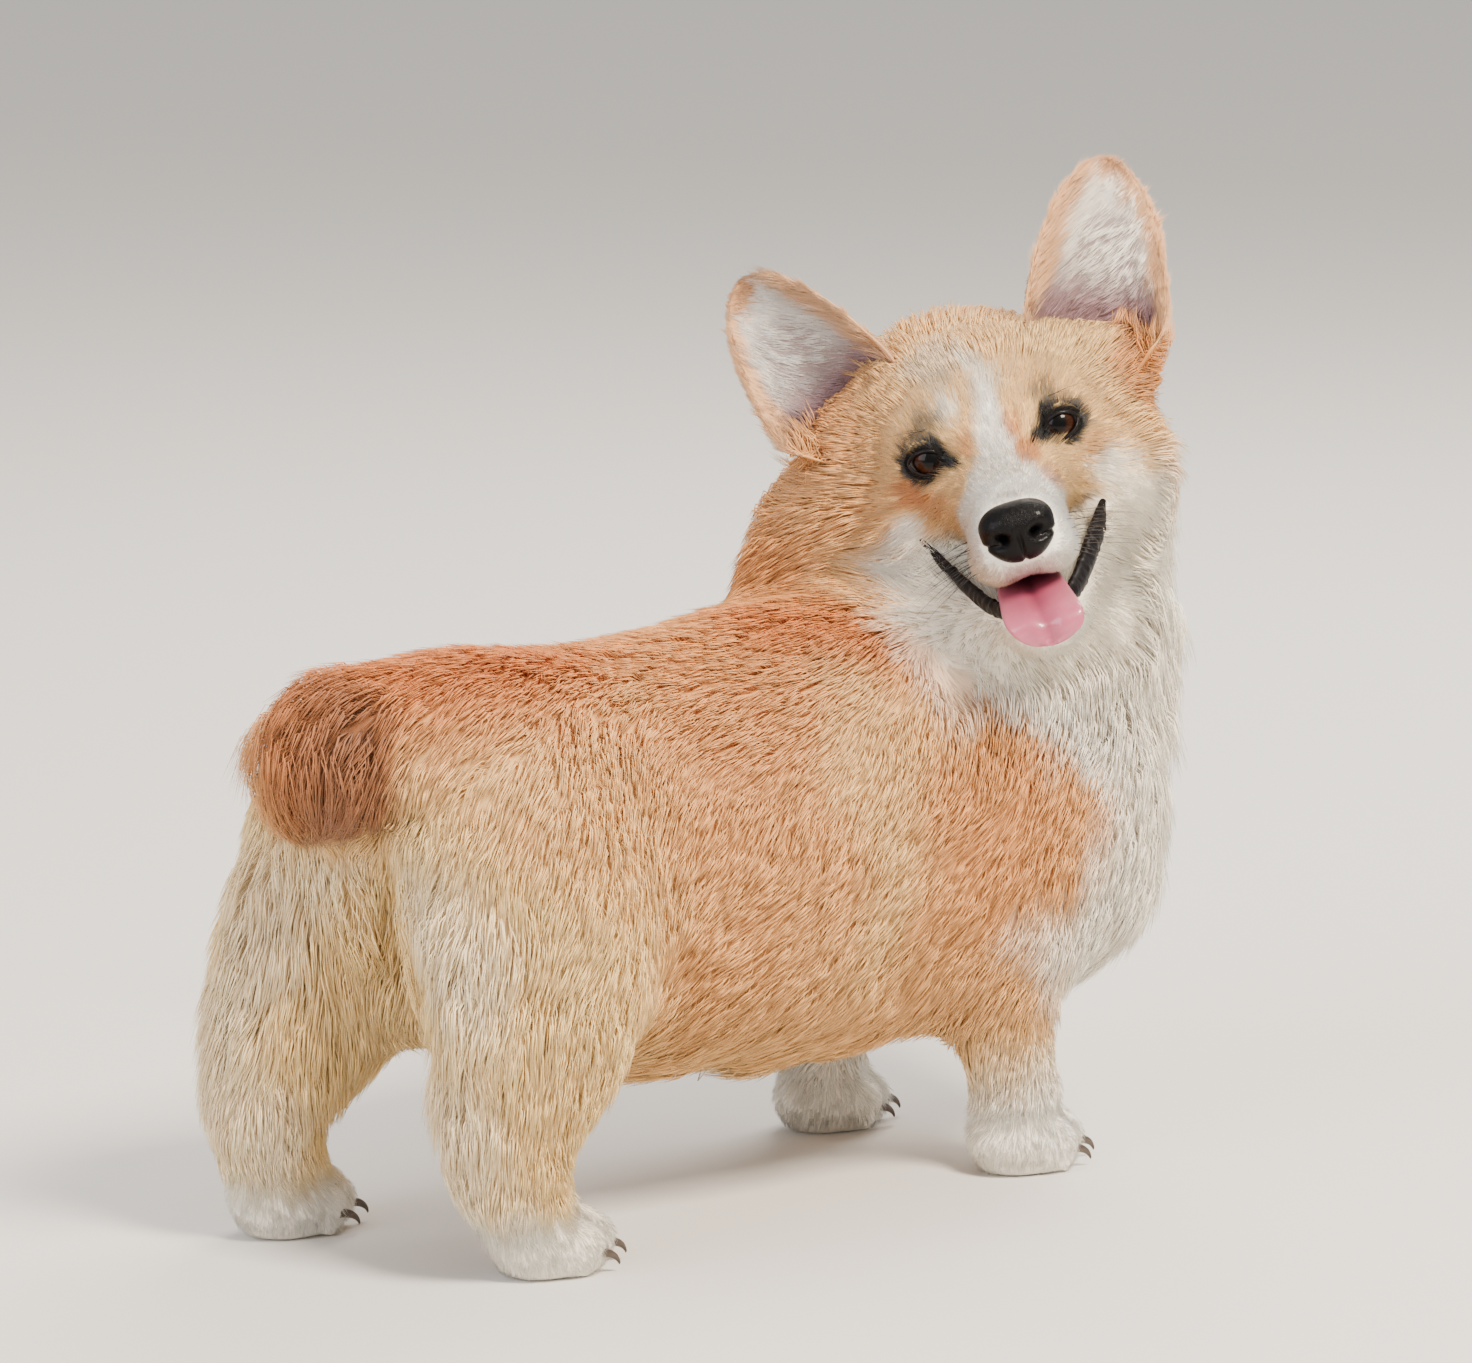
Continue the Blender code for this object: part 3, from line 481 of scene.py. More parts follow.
# Each ear in the head's frame: middle of its base, tip, how far the cup turns outwards.
EARS = {
    "ear_right": (Vector((-0.064, -0.060, 0.026)), Vector((-0.070, -0.096, 0.101)), 12.0),
    "ear_left": (Vector((-0.064, 0.058, 0.028)), Vector((-0.066, 0.088, 0.110)), 2.0),
}
EAR_HALF_WIDTH = 0.034
EAR_ROOT = 0.16
EAR_CUP = (115.0, 75.0)
EAR_WALL = 0.0026
EAR_COAT = (0.0080, 0.0022, 0.00050, 170.0)
EAR_FRINGE = (0.0250, 0.0075, 0.00062, 130.0)  # from the edge nearest the skull, out over the cup
EAR_CUP_COAT = (0.0110, 0.0022, 0.00045, 110.0)
EAR_RIM = (0.0100, 0.0038, 0.00055, 210.0)


def ear_axes(name):
    base, tip, turn = EARS[name]
    up = (tip - base).normalized()
    front = (Vector((1, 0, 0)) - up * up.x).normalized()
    front.rotate(Matrix.Rotation(math.radians(turn * (1 if base.y > 0 else -1)), 3, up))
    return base, up, front, up.cross(front), (tip - base).length


def ear_section(s):
    """Half width, half angle and radius of the cup, from the sunken root through 0 to the tip at 1."""
    rounded_tip = math.sqrt(max(0.0, 1.0 - max(0.0, s) ** 2.5))
    narrow_root = 1.0 - 2.0 * max(0.0, 0.20 - s) ** 1.6
    width = EAR_HALF_WIDTH * max((1.06 - 0.16 * s) * rounded_tip * narrow_root, 0.05)
    half_angle = math.radians(EAR_CUP[0] - EAR_CUP[1] * max(s, 0.0) ** 0.6)
    return width, half_angle, width / math.sin(min(half_angle, math.pi / 2))


def ear_axis_point(name, s):
    """The middle of the cup's circle at this height, in the head's frame."""
    base, up, front, _, length = ear_axes(name)
    _, half_angle, radius = ear_section(s)
    return base + up * length * s + front * radius * (math.cos(half_angle) * 0.5 + 0.5)


def ear_leather(name):
    """The ear as a cupped leaf with a thin rounded wall."""
    base, up, front, side, length = ear_axes(name)
    rows, columns = 44, 36
    points, faces = [], []
    for layer in (1, -1):
        for r in range(rows):
            s = (1.0 + EAR_ROOT) * r / (rows - 1) - EAR_ROOT
            _, half_angle, radius = ear_section(s)
            middle = ear_axis_point(name, s)
            for c in range(columns):
                across = 2 * c / (columns - 1) - 1
                rim = math.sqrt(max(0.0, 1 - abs(across) ** 6)) * math.sqrt(max(0.0, 1 - max(0.0, s) ** 12))
                reach = radius + layer * EAR_WALL / 2 * (0.25 + 0.75 * rim)
                inner = max(0.0, -across if base.y > 0 else across)
                angle = half_angle * across * (1 - 0.32 * inner * max(0.0, 1 - max(s, 0.0) / 0.55) ** 1.5)
                points.append(middle + side * reach * math.sin(angle) - front * reach * math.cos(angle))
    sheet = rows * columns
    for r in range(rows - 1):
        for c in range(columns - 1):
            a, b = r * columns + c, (r + 1) * columns + c
            faces.append((a, a + 1, b + 1, b))
            faces.append((sheet + a, sheet + b, sheet + b + 1, sheet + a + 1))
    ring = [c for c in range(columns)] + [r * columns + columns - 1 for r in range(1, rows)]
    ring += [(rows - 1) * columns + c for c in range(columns - 2, -1, -1)]
    ring += [r * columns for r in range(rows - 2, 0, -1)]
    for a, b in zip(ring, ring[1:] + ring[:1]):
        faces.append((b, a, sheet + a, sheet + b))
    ear = place_in_head(mesh_object(name + "_leather", points, faces))
    shape = bmesh.new()
    shape.from_mesh(ear.data)
    bmesh.ops.recalc_face_normals(shape, faces=shape.faces)
    shape.to_mesh(ear.data)
    shape.free()
    return ear


def coat_sizes(points):
    """The coat's five sizes at each point, blended from the zones."""
    sizes = np.tile(np.array(COAT_BASE), (len(points), 1))
    spaces = {"body": to_body(points), "head": to_head(points)}
    for space, centre, radii, values in COAT_ZONES:
        sizes = mix(sizes, np.array(values), ball(spaces[space], centre, radii))
    return sizes


def guided(points, guides):
    total = np.zeros_like(points)
    for place, direction in guides:
        for side in (1, -1):
            away = points - np.array((place[0], side * place[1], place[2]))
            share = (np.sum(away * away, axis=1) + 1e-5) ** -1.6
            total += share[:, None] * np.array((direction[0], side * direction[1], direction[2]))
    return unit(total)


def surface_of(nodes):
    """A tree for finding the distance to these nodes' surfaces."""
    points, faces = [], []
    for node in nodes:
        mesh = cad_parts[node].data
        faces += [[index + len(points) for index in face.vertices] for face in mesh.polygons]
        points += [vertex.co for vertex in mesh.vertices]
    return BVHTree.FromPolygons(points, faces)


HEAD_SURFACE = surface_of(("head", "jaw", "ear_left", "ear_right", "nose"))
BODY_SURFACE = surface_of(("neck", "torso", "thigh_left", "thigh_right", "foreleg_left", "foreleg_right"))


def head_share(points):
    """1 on the head and 0 on the neck, eased over the nape and throat."""
    rows = points.tolist()
    to_skull = np.array([HEAD_SURFACE.find_nearest(place)[3] for place in rows])
    to_trunk = np.array([BODY_SURFACE.find_nearest(place)[3] for place in rows])
    return smooth(to_trunk - to_skull, -0.012, 0.012)


def ear_places(points, normals):
    """For each point: its ear's name or None, height up the ear, share across it, and whether inside the cup."""
    h = to_head(points)
    n = normals @ np.array(HEAD_TURNED)
    found = {}
    rows = np.linspace(-EAR_ROOT, 0.9995, 160)
    _, half_angles, radii = np.array([ear_section(row) for row in rows]).T
    for name in EARS:
        base, up, front, side, length = (np.array(part) for part in ear_axes(name))
        s = ((h - base) @ up) / length
        middles = np.array([ear_axis_point(name, row) for row in rows])
        at = np.clip(s, rows[0], rows[-1])
        middle = np.stack([np.interp(at, rows, middles[:, k]) for k in range(3)], axis=1)
        away = h - middle
        away = away - np.outer(away @ up, up)
        reach = np.linalg.norm(away, axis=1)
        near = (np.abs(reach - np.interp(at, rows, radii)) < 0.0055) & (s > 0.02) & (s < 1.06)
        inside = near & (np.sum(n * away, axis=1) < 0)
        across = np.arctan2(away @ side, -(away @ front)) / np.interp(at, rows, half_angles)
        found[name] = (near & (np.abs(across) < 1.25), inside, s, across)
    return found


def lie_of_hair(points, normals):
    """Direction of the hair at each point, along the surface."""
    body = guided(to_body(points), BODY_LIE)
    head = guided(to_head(points), HEAD_LIE) @ np.array(HEAD_TURNED).T
    lie = mix(body, head, head_share(points))
    for name, (near, inside, s, across) in ear_places(points, normals).items():
        _, up, front, side, _ = ear_axes(name)
        outward = np.array(HEAD_TURNED @ side) * (1 if name == "ear_left" else -1)
        upward = np.array(HEAD_TURNED @ up)
        lie[near] = upward + 0.15 * outward
        lie[inside] = upward * 0.75 + outward * 0.65
    return unit(lie - normals * np.sum(lie * normals, axis=1, keepdims=True))


# ---------------------------------------------------------------- markings

TINTS = {
    name: np.array(linear(value))
    for name, value in {
        "red": "#cd7a42", "orange": "#de9e60", "apricot": "#eebb7c", "cream": "#f4d292", "white": "#fbf6ec",
        "brown": "#8b5b3e", "rust": "#ce8548", "grey": "#8f8984", "ash": "#d3c3ab", "black": "#0b0908",
        # mouth: the skin inside the open mouth, its own colour darkened as painted shade of the mouth's hollow
        "pink": "#94767a", "mouth": "#2a1214",
    }.items()
}


def noise(points, scale, seed=0):
    """Smooth seeded noise from a few sines, about -1 to 1."""
    random = np.random.default_rng(seed)
    total = np.zeros(len(points))
    for k in range(6):
        direction = unit(random.normal(size=3))
        total += np.sin(points @ direction * scale * random.uniform(0.7, 1.6) + random.uniform(0, math.tau))
    return total / 3.0


def body_markings(points, normals):
    b = to_body(points)
    x, y, z = b.T
    wobble = 0.010 * noise(b, 60, 1) + 0.005 * noise(b, 160, 2)
    side = np.abs(y)
    colour = np.tile(mix(TINTS["orange"], TINTS["apricot"], 0.35), (len(points), 1))
    # back, most red on the croup and where the neck's ruff ends
    back = smooth(z + wobble - 0.06 * np.abs(x + 0.06), 0.205, 0.258)
    croup = ball(b, (-0.150, 0.000, 0.278), (0.130, 0.066, 0.040))
    # the red where the ruff ends is partly the coat's own red, partly painted shade
    collar = ball(b, (0.050, -0.030, 0.262), (0.060, 0.075, 0.060))
    colour = mix(colour, TINTS["red"], np.clip(0.30 * back + 0.65 * croup + 0.55 * collar, 0, 0.9))
    # flanks fade to apricot and cream below
    colour = mix(colour, TINTS["apricot"], 0.8 * (1 - smooth(z + wobble, 0.085, 0.185)))
    colour = mix(colour, TINTS["cream"], 0.75 * (1 - smooth(z + wobble, 0.050, 0.095)))
    # pale band behind each shoulder
    band = x - 0.032 + wobble
    band = band + 0.012 * noise(b, 45, 12)
    pale = 0.75 * np.exp(-((band / 0.024) ** 2)) * smooth(side, 0.030, 0.070) * smooth(z, 0.09, 0.15)
    colour = mix(colour, TINTS["cream"], 0.80 * pale)
    # haunches and breeches
    hip = (1 - smooth(x + 1.6 * wobble, -0.130, -0.050)) * (1 - smooth(z + wobble, 0.238, 0.266))
    colour = mix(colour, TINTS["apricot"], 0.85 * hip)
    haunch = (1 - smooth(x + 0.35 * (z - 0.17) + 1.6 * wobble, -0.185, -0.082)) * (1 - smooth(z + wobble, 0.202, 0.258))
    colour = mix(colour, TINTS["cream"], 0.95 * haunch)
    breech = (1 - smooth(x + wobble, -0.228, -0.198)) * (1 - smooth(z, 0.190, 0.220))
    colour = mix(colour, mix(TINTS["cream"], TINTS["white"], 0.45), 0.8 * breech)
    # tail, with a darker parting above and pale tips below
    tail = ball(b, (-0.246, 0.004, 0.240), (0.062, 0.062, 0.062))
    colour = mix(colour, mix(TINTS["red"], TINTS["brown"], 0.5), 0.85 * smooth(tail, 0.1, 0.5))
    colour = mix(colour, TINTS["brown"], 0.85 * smooth(tail, 0.2, 0.6) * np.exp(-(((y + 0.020 + 0.6 * wobble) / 0.024) ** 2)))
    colour = mix(colour, TINTS["apricot"], 0.65 * smooth(tail, 0.1, 0.5) * smooth(y + wobble, 0.006, 0.030))
    colour = mix(colour, mix(TINTS["apricot"], TINTS["cream"], 0.6), 0.9 * smooth(tail, 0, 0.4) * (1 - smooth(z + 0.6 * wobble, 0.206, 0.228)))
    # nape and shoulders a little deeper: partly the coat's own rust, partly painted shade on the nape and painted
    # shadow on the shoulders
    nape = ball(b, (0.100, 0.030, 0.290), (0.075, 0.080, 0.080))
    colour = mix(colour, mix(TINTS["orange"], TINTS["rust"], 0.5), 0.75 * smooth(nape, 0.0, 0.5))
    shoulder = ball(b, (0.095, -0.105, 0.185), (0.050, 0.060, 0.075)) + ball(b, (0.095, 0.095, 0.185), (0.050, 0.060, 0.075))
    colour = mix(colour, TINTS["rust"], 0.35 * np.clip(shoulder, 0, 1))
    # white throat, bib and chest, open to the right, where the head looks
    strip = 0.012 * np.sin(95 * (y + 0.35 * z) + 2 * noise(b, 30, 14))
    limit = strip * smooth(z, 0.14, 0.20) + np.interp(z, [0.10, 0.138, 0.184, 0.220, 0.240, 0.270, 0.30], [0.235, 0.241, 0.262, 0.246, 0.190, 0.125, 0.12])
    open_side = smooth((x - y) - limit + 1.6 * wobble, -0.020, 0.020)
    left_side = smooth(normals[:, 1] + 3 * wobble, 0.25, 0.70)
    bib = open_side * (1 - left_side) * (1 - smooth(normals @ np.array((-0.3, 0.5, 0.6)), 0.35, 0.7))
    colour = mix(colour, mix(TINTS["white"], TINTS["cream"], 0.15), 0.97 * bib)
    # white feet and stockings
    fore = (x > 0.0) * (1 - smooth(z + wobble, 0.034, 0.078))
    hind = (x < 0.0) * (1 - smooth(z + wobble, 0.018, 0.056))
    return mix(colour, TINTS["white"], np.clip(fore + hind, 0, 1) * 0.92)


# Patches of the face: tint, centre in the head's frame, radii, strength, in the order they are laid on.
FACE_PATCHES = (
    # the first ash patch greys the right brow as painted shade and the cream patch pales the left crown as painted
    # light; the second ash patch is the brow's own grey hair
    ("ash", (-0.030, -0.016, 0.036), (0.034, 0.018, 0.020), 0.65),
    ("ash", (-0.008, 0.003, 0.024), (0.022, 0.012, 0.016), 0.60),
    ("cream", (-0.0435, 0.0425, 0.0294), (0.040, 0.030, 0.030), 0.55),
    ("white", (-0.002, -0.0185, 0.0175), (0.016, 0.010, 0.009), 0.70),
    ("rust", (0.0102, 0.0100, 0.0040), (0.010, 0.0060, 0.009), 0.75),
    ("rust", (0.0200, 0.0135, -0.0080), (0.013, 0.0075, 0.011), 0.85),
    ("rust", (0.0300, 0.0205, -0.0200), (0.015, 0.0075, 0.010), 0.60),
    ("rust", (0.0115, -0.0125, 0.0020), (0.010, 0.0060, 0.009), 0.60),
    ("rust", (-0.0060, -0.0400, -0.0140), (0.016, 0.0200, 0.0095), 0.90),
    ("rust", (0.0050, -0.0300, -0.0200), (0.014, 0.0120, 0.0080), 0.50),
    ("rust", (-0.0060, 0.0420, -0.0150), (0.014, 0.0160, 0.0080), 0.45),
    ("rust", (-0.0480, 0.0700, 0.0060), (0.030, 0.0240, 0.0260), 0.65),
    ("white", (-0.0070, -0.0480, -0.0290), (0.014, 0.0110, 0.0085), 0.85),
    ("white", (-0.0070, 0.0470, -0.0240), (0.018, 0.0140, 0.0110), 0.85),
)
MUZZLE_SPOTS = (
    (0.0250, -0.0290, -0.0440, 0.0045),
    (0.0300, -0.0280, -0.0400, 0.0030),
    (0.0700, -0.0090, -0.0530, 0.0035),
    (0.0720, 0.0040, -0.0520, 0.0030),
    (0.0560, -0.0230, -0.0410, 0.0022),
    (0.0500, 0.0250, -0.0420, 0.0022),
)


def head_markings(points, normals):
    h = to_head(points)
    f, l, u = h.T
    wobble = 0.004 * noise(h, 150, 3) + 0.002 * noise(h, 420, 4)
    side = np.abs(l)
    colour = np.tile(mix(TINTS["apricot"], TINTS["cream"], 0.45), (len(points), 1))
    colour = mix(colour, TINTS["orange"], 0.85 * (1 - smooth(f + wobble, -0.080, -0.010)) * smooth(side, 0.035, 0.070))
    colour = mix(colour, TINTS["orange"], 0.55 * smooth(-l + wobble, 0.030, 0.060) * (1 - smooth(f, -0.03, 0.0)))
    colour = mix(colour, TINTS["orange"], 0.7 * (1 - smooth(f + wobble, -0.10, -0.06)))
    for tint, centre, radii, share in FACE_PATCHES[:4]:
        colour = mix(colour, TINTS[tint], share * smooth(ball(h + wobble[:, None] * 0.5, centre, radii), 0.0, 0.8))
    # white blaze, muzzle, chaps, chin and throat
    half = np.interp(f, [-0.045, -0.02, 0.005, 0.02, 0.035], [0.0008, 0.0022, 0.0045, 0.0090, 0.0200])
    middle = np.interp(f, [-0.045, 0.0, 0.03], [-0.003, 0.0015, 0.002])
    blaze = (1 - smooth(np.abs(l - middle) + 0.6 * wobble - half, -0.002, 0.004))
    blaze = blaze * smooth(f, -0.050, -0.020) * smooth(u, -0.03, -0.02)
    reach = np.where(l > 0, 0.030, 0.0)  # the white runs further back on the left cheek
    chaps = (1 - smooth(u + 0.25 * f + 1.2 * wobble, -0.042, -0.026)) * smooth(f + reach + wobble, -0.060, -0.030)
    chaps = chaps * (1 - smooth(side - reach + wobble, 0.056, 0.072))
    muzzle = smooth(f - 0.30 * np.clip(u + 0.02, -0.03, 0.03) + wobble, 0.024, 0.038)
    colour = mix(colour, TINTS["white"], np.clip(np.maximum(blaze * 0.92, muzzle * 0.97), 0, 1))
    colour = mix(colour, mix(TINTS["white"], TINTS["cream"], 0.2), 0.92 * chaps)
    colour = mix(colour, TINTS["orange"], 0.8 * smooth(l + wobble, 0.066, 0.080) * smooth(u, -0.14, -0.09))
    for tint, centre, radii, share in FACE_PATCHES[4:]:
        colour = mix(colour, TINTS[tint], share * smooth(ball(h + wobble[:, None] * 0.3, centre, radii), 0.0, 0.8))
    shade = ball(h, (0.0720, 0.0, -0.0150), (0.010, 0.016, 0.009))
    colour = mix(colour, TINTS["grey"], 0.6 * shade)
    for stations in LIPS.values():
        line = curve_through([row[:3] for row in stations], 40)
        near = np.flatnonzero(np.linalg.norm(h - np.array((0.02, 0.0, -0.05)), axis=1) < 0.08)
        away = np.min(np.linalg.norm(h[near, None] - line[None], axis=2), axis=1) + 0.6 * wobble[near]
        share = 0.75 * (1 - smooth(away, 0.0030, 0.0058)) * smooth(h[near, 0], 0.002, 0.020)
        colour[near] = mix(colour[near], TINTS["black"], share)
    for *centre, radius in MUZZLE_SPOTS:
        colour = mix(colour, TINTS["grey"], 0.8 * ball(h, centre, (radius * 1.3,) * 3))
    # black round the eyes, drawn out to the inner corner, with a smudge up from it
    for s in (1, -1):
        rim = ball(h, (EYE.x + 0.002, s * EYE.y, 0.0004), (0.026, 0.0172, 0.0127))
        corner = ball(h, (0.0100, s * 0.0205, -0.0032), (0.012, 0.0065, 0.0050))
        smudge = ball(h + 0.7 * wobble[:, None], (-0.002, s * 0.0275, 0.0145), (0.014, 0.0085, 0.0100))
        colour = mix(colour, TINTS["black"], 0.62 * smooth(smudge, 0.0, 0.9))
        dark = smooth(rim, 0.10, 0.42) + smooth(corner, 0.1, 0.6)
        colour = mix(colour, TINTS["black"], np.clip(dark, 0, 1))
    return colour


def ear_markings(colour, points, normals):
    """Tan outside with a darker rim, pale grey hair in the cup over mauve skin deep down."""
    for near, inside, s, across in ear_places(points, normals).values():
        rows = np.ones((len(points), 1))
        outer = mix(rows * mix(TINTS["orange"], TINTS["ash"], 0.35), TINTS["brown"], 0.5 * smooth(s, 0.80, 1.0))
        colour[near] = outer[near]
        ragged = 0.06 * noise(points, 260, 5)
        edge = smooth(np.abs(across) + ragged, 0.58, 0.80)
        lining = mix(rows * TINTS["pink"], mix(TINTS["white"], TINTS["grey"], 0.22), smooth(s, 0.10, 0.42))
        lining = mix(lining, outer, np.maximum(edge, smooth(s + 1.3 * ragged, 0.74, 0.90)))
        colour[inside] = lining[inside]
    return colour


def markings(points, normals):
    """The dog's colours, the same for skin and coat."""
    colour = mix(body_markings(points, normals), head_markings(points, normals), head_share(points))
    return ear_markings(colour, points, normals)


# The open mouth: forward, height, half gap, in the head's frame.
MOUTH = (
    (-0.004, -0.0360, 0.0015),
    (0.006, -0.0460, 0.0045),
    (0.022, -0.0560, 0.0060),
    (0.045, -0.0630, 0.0080),
    (0.070, -0.0670, 0.0105),
    (0.100, -0.0710, 0.0150),
)


def mouth_share(points):
    """1 inside the open mouth and 0 from about 2 mm outside its edges."""
    h = to_head(points)
    f, _, u = h.T
    middle, gap = mouth_line(f)
    drop = 0.0062 * smooth(f, -0.006, 0.016) * (1 - 0.45 * smooth(f, 0.055, 0.070))
    above = 1 - smooth(u - middle, gap - drop - 0.0010, gap - drop + 0.0010)
    below = 1 - smooth(middle - u, gap + 0.0005, gap + 0.0025)
    inside = above * below * smooth(f, -0.008, -0.002)
    return inside * (np.linalg.norm(h, axis=1) < 0.125) * (head_share(points) > 0.5)


# ---------------------------------------------------------------- the skin


def copy_of_nodes(name, nodes):
    shape = bmesh.new()
    for node in nodes:
        shape.from_mesh(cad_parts[node].data)
    bmesh.ops.remove_doubles(shape, verts=shape.verts, dist=0.00001)
    mesh = bpy.data.meshes.new(name)
    shape.to_mesh(mesh)
    shape.free()
    return new_object(name, mesh)


def eye_frame(side):
    """Axes of one eye as the lids see it: out along the gaze, across and up."""
    gaze = Matrix.Rotation(math.radians(EYE_SPLAY * side), 4, "Z")
    slant = Matrix.Rotation(math.radians(EYE_SLANT * side), 4, "X")
    return HEAD @ Matrix.Translation((EYE.x, side * EYE.y, EYE.z)) @ gaze @ slant


def almond(local):
    """1 on the edge of the eye's almond opening, less inside it and more outside."""
    half_width, half_height = EYE_OPENING
    across = np.clip(1 - (local[:, 1] / half_width) ** 2, 0.0, 1.0)
    beyond = np.clip(np.abs(local[:, 1]) / half_width - 1, 0, None)
    return (local[:, 2] / half_height) ** 2 / np.maximum(across, 0.06) ** 1.3 + np.where(beyond > 0, 1 + 4 * beyond, 0)


def shape_lids(points):
    """Pulls the skin round each eyeball into lids and opens them."""
    for side in (1, -1):
        place = eye_frame(side)
        local = (points - np.array(place.translation)) @ np.array(place.to_3x3())
        reach = np.linalg.norm(local, axis=1)
        round_eye = (local[:, 1] / EYE_OPENING[0]) ** 2 + (local[:, 2] / EYE_OPENING[1]) ** 2
        near = (reach < 2.0 * EYE_RADIUS) & (local[:, 0] > 0)
        lid = near * (1 - smooth(round_eye, 2.2, 5.5))
        opened = near * (1 - smooth(almond(local), 0.70, 1.0))
        goal = between(EYE_RADIUS + 0.0012, EYE_RADIUS - 0.0035, opened)
        points = points + unit(local) @ np.array(place.to_3x3()).T * ((goal - reach) * lid)[:, None]
    return points


def make_skin(sizes):
    flesh = [node for node in FLESH if not node.startswith("ear")]
    skin = copy_of_nodes("skin", flesh + ["eye_left", "eye_right"])
    add_modifier(skin, "REMESH", mode="VOXEL", voxel_size=sizes.skin_voxel)
    mesh = skin.data
    points = points_of(mesh)
    nape = ball(to_body(points), (0.100, 0.064, 0.272), (0.062, 0.062, 0.062))
    points += np.array(camera_axes()[0]) * (-0.014 * smooth(nape, 0.0, 0.8))[:, None]
    set_points(mesh, points)
    on_head = head_share(points)
    near_paws = 1 - smooth(to_body(points)[:, 2], 0.045, 0.085)
    tail = ball(to_body(points), (-0.250, 0.004, 0.235), (0.060, 0.070, 0.070))
    neck = ball(to_body(points), (0.195, 0.010, 0.300), (0.130, 0.150, 0.110))
    rounds = between(between(between(80.0, 30.0, tail), 26.0, neck), 6.0, np.maximum(on_head, near_paws))
    relax(mesh, rounds)
    points, normals = points_of(mesh), points_of(mesh, "normal")
    sink = coat_sizes(points)[:, SINK]
    on_floor = 1 - smooth(points[:, 2], 0.001, 0.006)
    set_points(mesh, points - normals * (sink * (1 - on_floor))[:, None])
    relax(mesh, between(10.0, 2.0, np.maximum(on_head, near_paws)))
    points, normals = points_of(mesh), points_of(mesh, "normal")
    set_points(mesh, points - normals * crease_depth(to_body(points))[:, None])
    relax(mesh, 2.0 * smooth(crease_depth(to_body(points)), 0.0005, 0.002))
    for name in EARS:
        ear = ear_leather(name)
        add_modifier(skin, "BOOLEAN", operation="UNION", solver="MANIFOLD", object=ear)
        bpy.data.objects.remove(ear)
    refine(skin, lambda places: ball(to_head(places), *FACE_BALL), 4.0)
    set_points(skin.data, shape_flews(points_of(skin.data)))
    relax(skin.data, 3.0 * smooth(ball(to_head(points_of(skin.data)), *FACE_BALL), 0.0, 0.1))
    set_points(skin.data, shape_lids(points_of(skin.data)))
    for paw in PAWS:
        refine(skin, lambda places, paw=paw: toe_share(places, paw), 2.0)
    set_points(skin.data, shape_toes(points_of(skin.data), points_of(skin.data, "normal")))
    unwrap(skin)
    return skin


# Creases pressed into the rump: places in the body's frame, half width, depth.
CREASES = (
    (((-0.226, -0.017, 0.202), (-0.214, -0.009, 0.172), (-0.204, -0.002, 0.146), (-0.192, 0.004, 0.127),
      (-0.180, 0.006, 0.112)), 0.0095, 0.0125),  # the cleft between the haunches
    (((-0.182, -0.060, 0.258), (-0.206, -0.055, 0.233), (-0.219, -0.039, 0.212), (-0.228, -0.008, 0.200),
      (-0.236, 0.025, 0.200), (-0.232, 0.048, 0.212), (-0.212, 0.060, 0.238)), 0.0065, 0.0065),  # under the tail
)


def crease_depth(body_points):
    depth = np.zeros(len(body_points))
    near = np.flatnonzero(body_points[:, 0] < -0.14)
    for places, half_width, deepest in CREASES:
        line = curve_through(places, 60)
        away = np.min(np.linalg.norm(body_points[near, None] - line[None], axis=2), axis=1)
        depth[near] += deepest * np.exp(-((away / half_width) ** 2))
    return depth


FACE_BALL = ((0.030, 0.0, -0.030), (0.062, 0.060, 0.062))
PAWS = ("forepaw_right", "forepaw_left", "hindpaw_right", "hindpaw_left")
TOES = (-0.66, -0.23, 0.23, 0.66)  # middles of the toes, as shares of the paw's half width


def toe_share(points, paw):
    """1 over the toes of a paw and 0 from its instep back."""
    low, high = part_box(paw)
    middle = ((high[0] - 0.012), (low[1] + high[1]) / 2, 0.012)
    return ball(points, middle, (0.042, 0.060, 0.040))


def refine(skin, share_of, rounds):
    """Halves the faces where the share is above 0, then eases them."""
    shape = bmesh.new()
    shape.from_mesh(skin.data)
    shape.faces.ensure_lookup_table()
    places = np.array([face.calc_center_median() for face in shape.faces])
    chosen = np.flatnonzero(share_of(places) > 0)
    edges = {edge for index in chosen for edge in shape.faces[index].edges}
    bmesh.ops.subdivide_edges(shape, edges=list(edges), cuts=1, use_grid_fill=True)
    shape.to_mesh(skin.data)
    shape.free()
    relax(skin.data, rounds * smooth(share_of(points_of(skin.data)), 0.0, 0.1))


def mouth_line(f):
    rows = np.array(MOUTH)
    return np.interp(f, rows[:, 0], rows[:, 1]), np.interp(f, rows[:, 0], rows[:, 2])


def shape_flews(points):
    """Draws the upper lip down over the mouth's opening, more at its sides than under the nose, and fills it."""
    h = to_head(points)
    f, l, u = h.T
    middle, gap = mouth_line(f)
    above = u - middle
    in_face = (np.linalg.norm(h, axis=1) < 0.125) & (np.abs(l) < 0.060) & (f > -0.012)
    drop = 0.0062 * smooth(f, -0.006, 0.016) * (1 - 0.45 * smooth(f, 0.055, 0.070))
    share = in_face * smooth(above, 0.0, 0.002) * (1 - smooth(above, gap, gap + 0.022))
    h[:, 2] -= drop * share
    full = ball(h, (0.036, 0.0, -0.050), (0.034, 0.045, 0.018)) * in_face * (u > middle)
    h[:, 1] += np.sign(l) * 0.0032 * full * smooth(np.abs(l), 0.006, 0.016)
    from_nose = np.hypot(l, 0.85 * (u - NOSE.z + 0.002))
    h[:, 0] += 0.0085 * (f > 0) * smooth(f, 0.046, 0.064) * (1 - smooth(from_nose, 0.019, 0.034)) * (u > middle + 0.002)
    return h @ np.array(HEAD_TURNED).T + np.array(HEAD_ORIGIN)


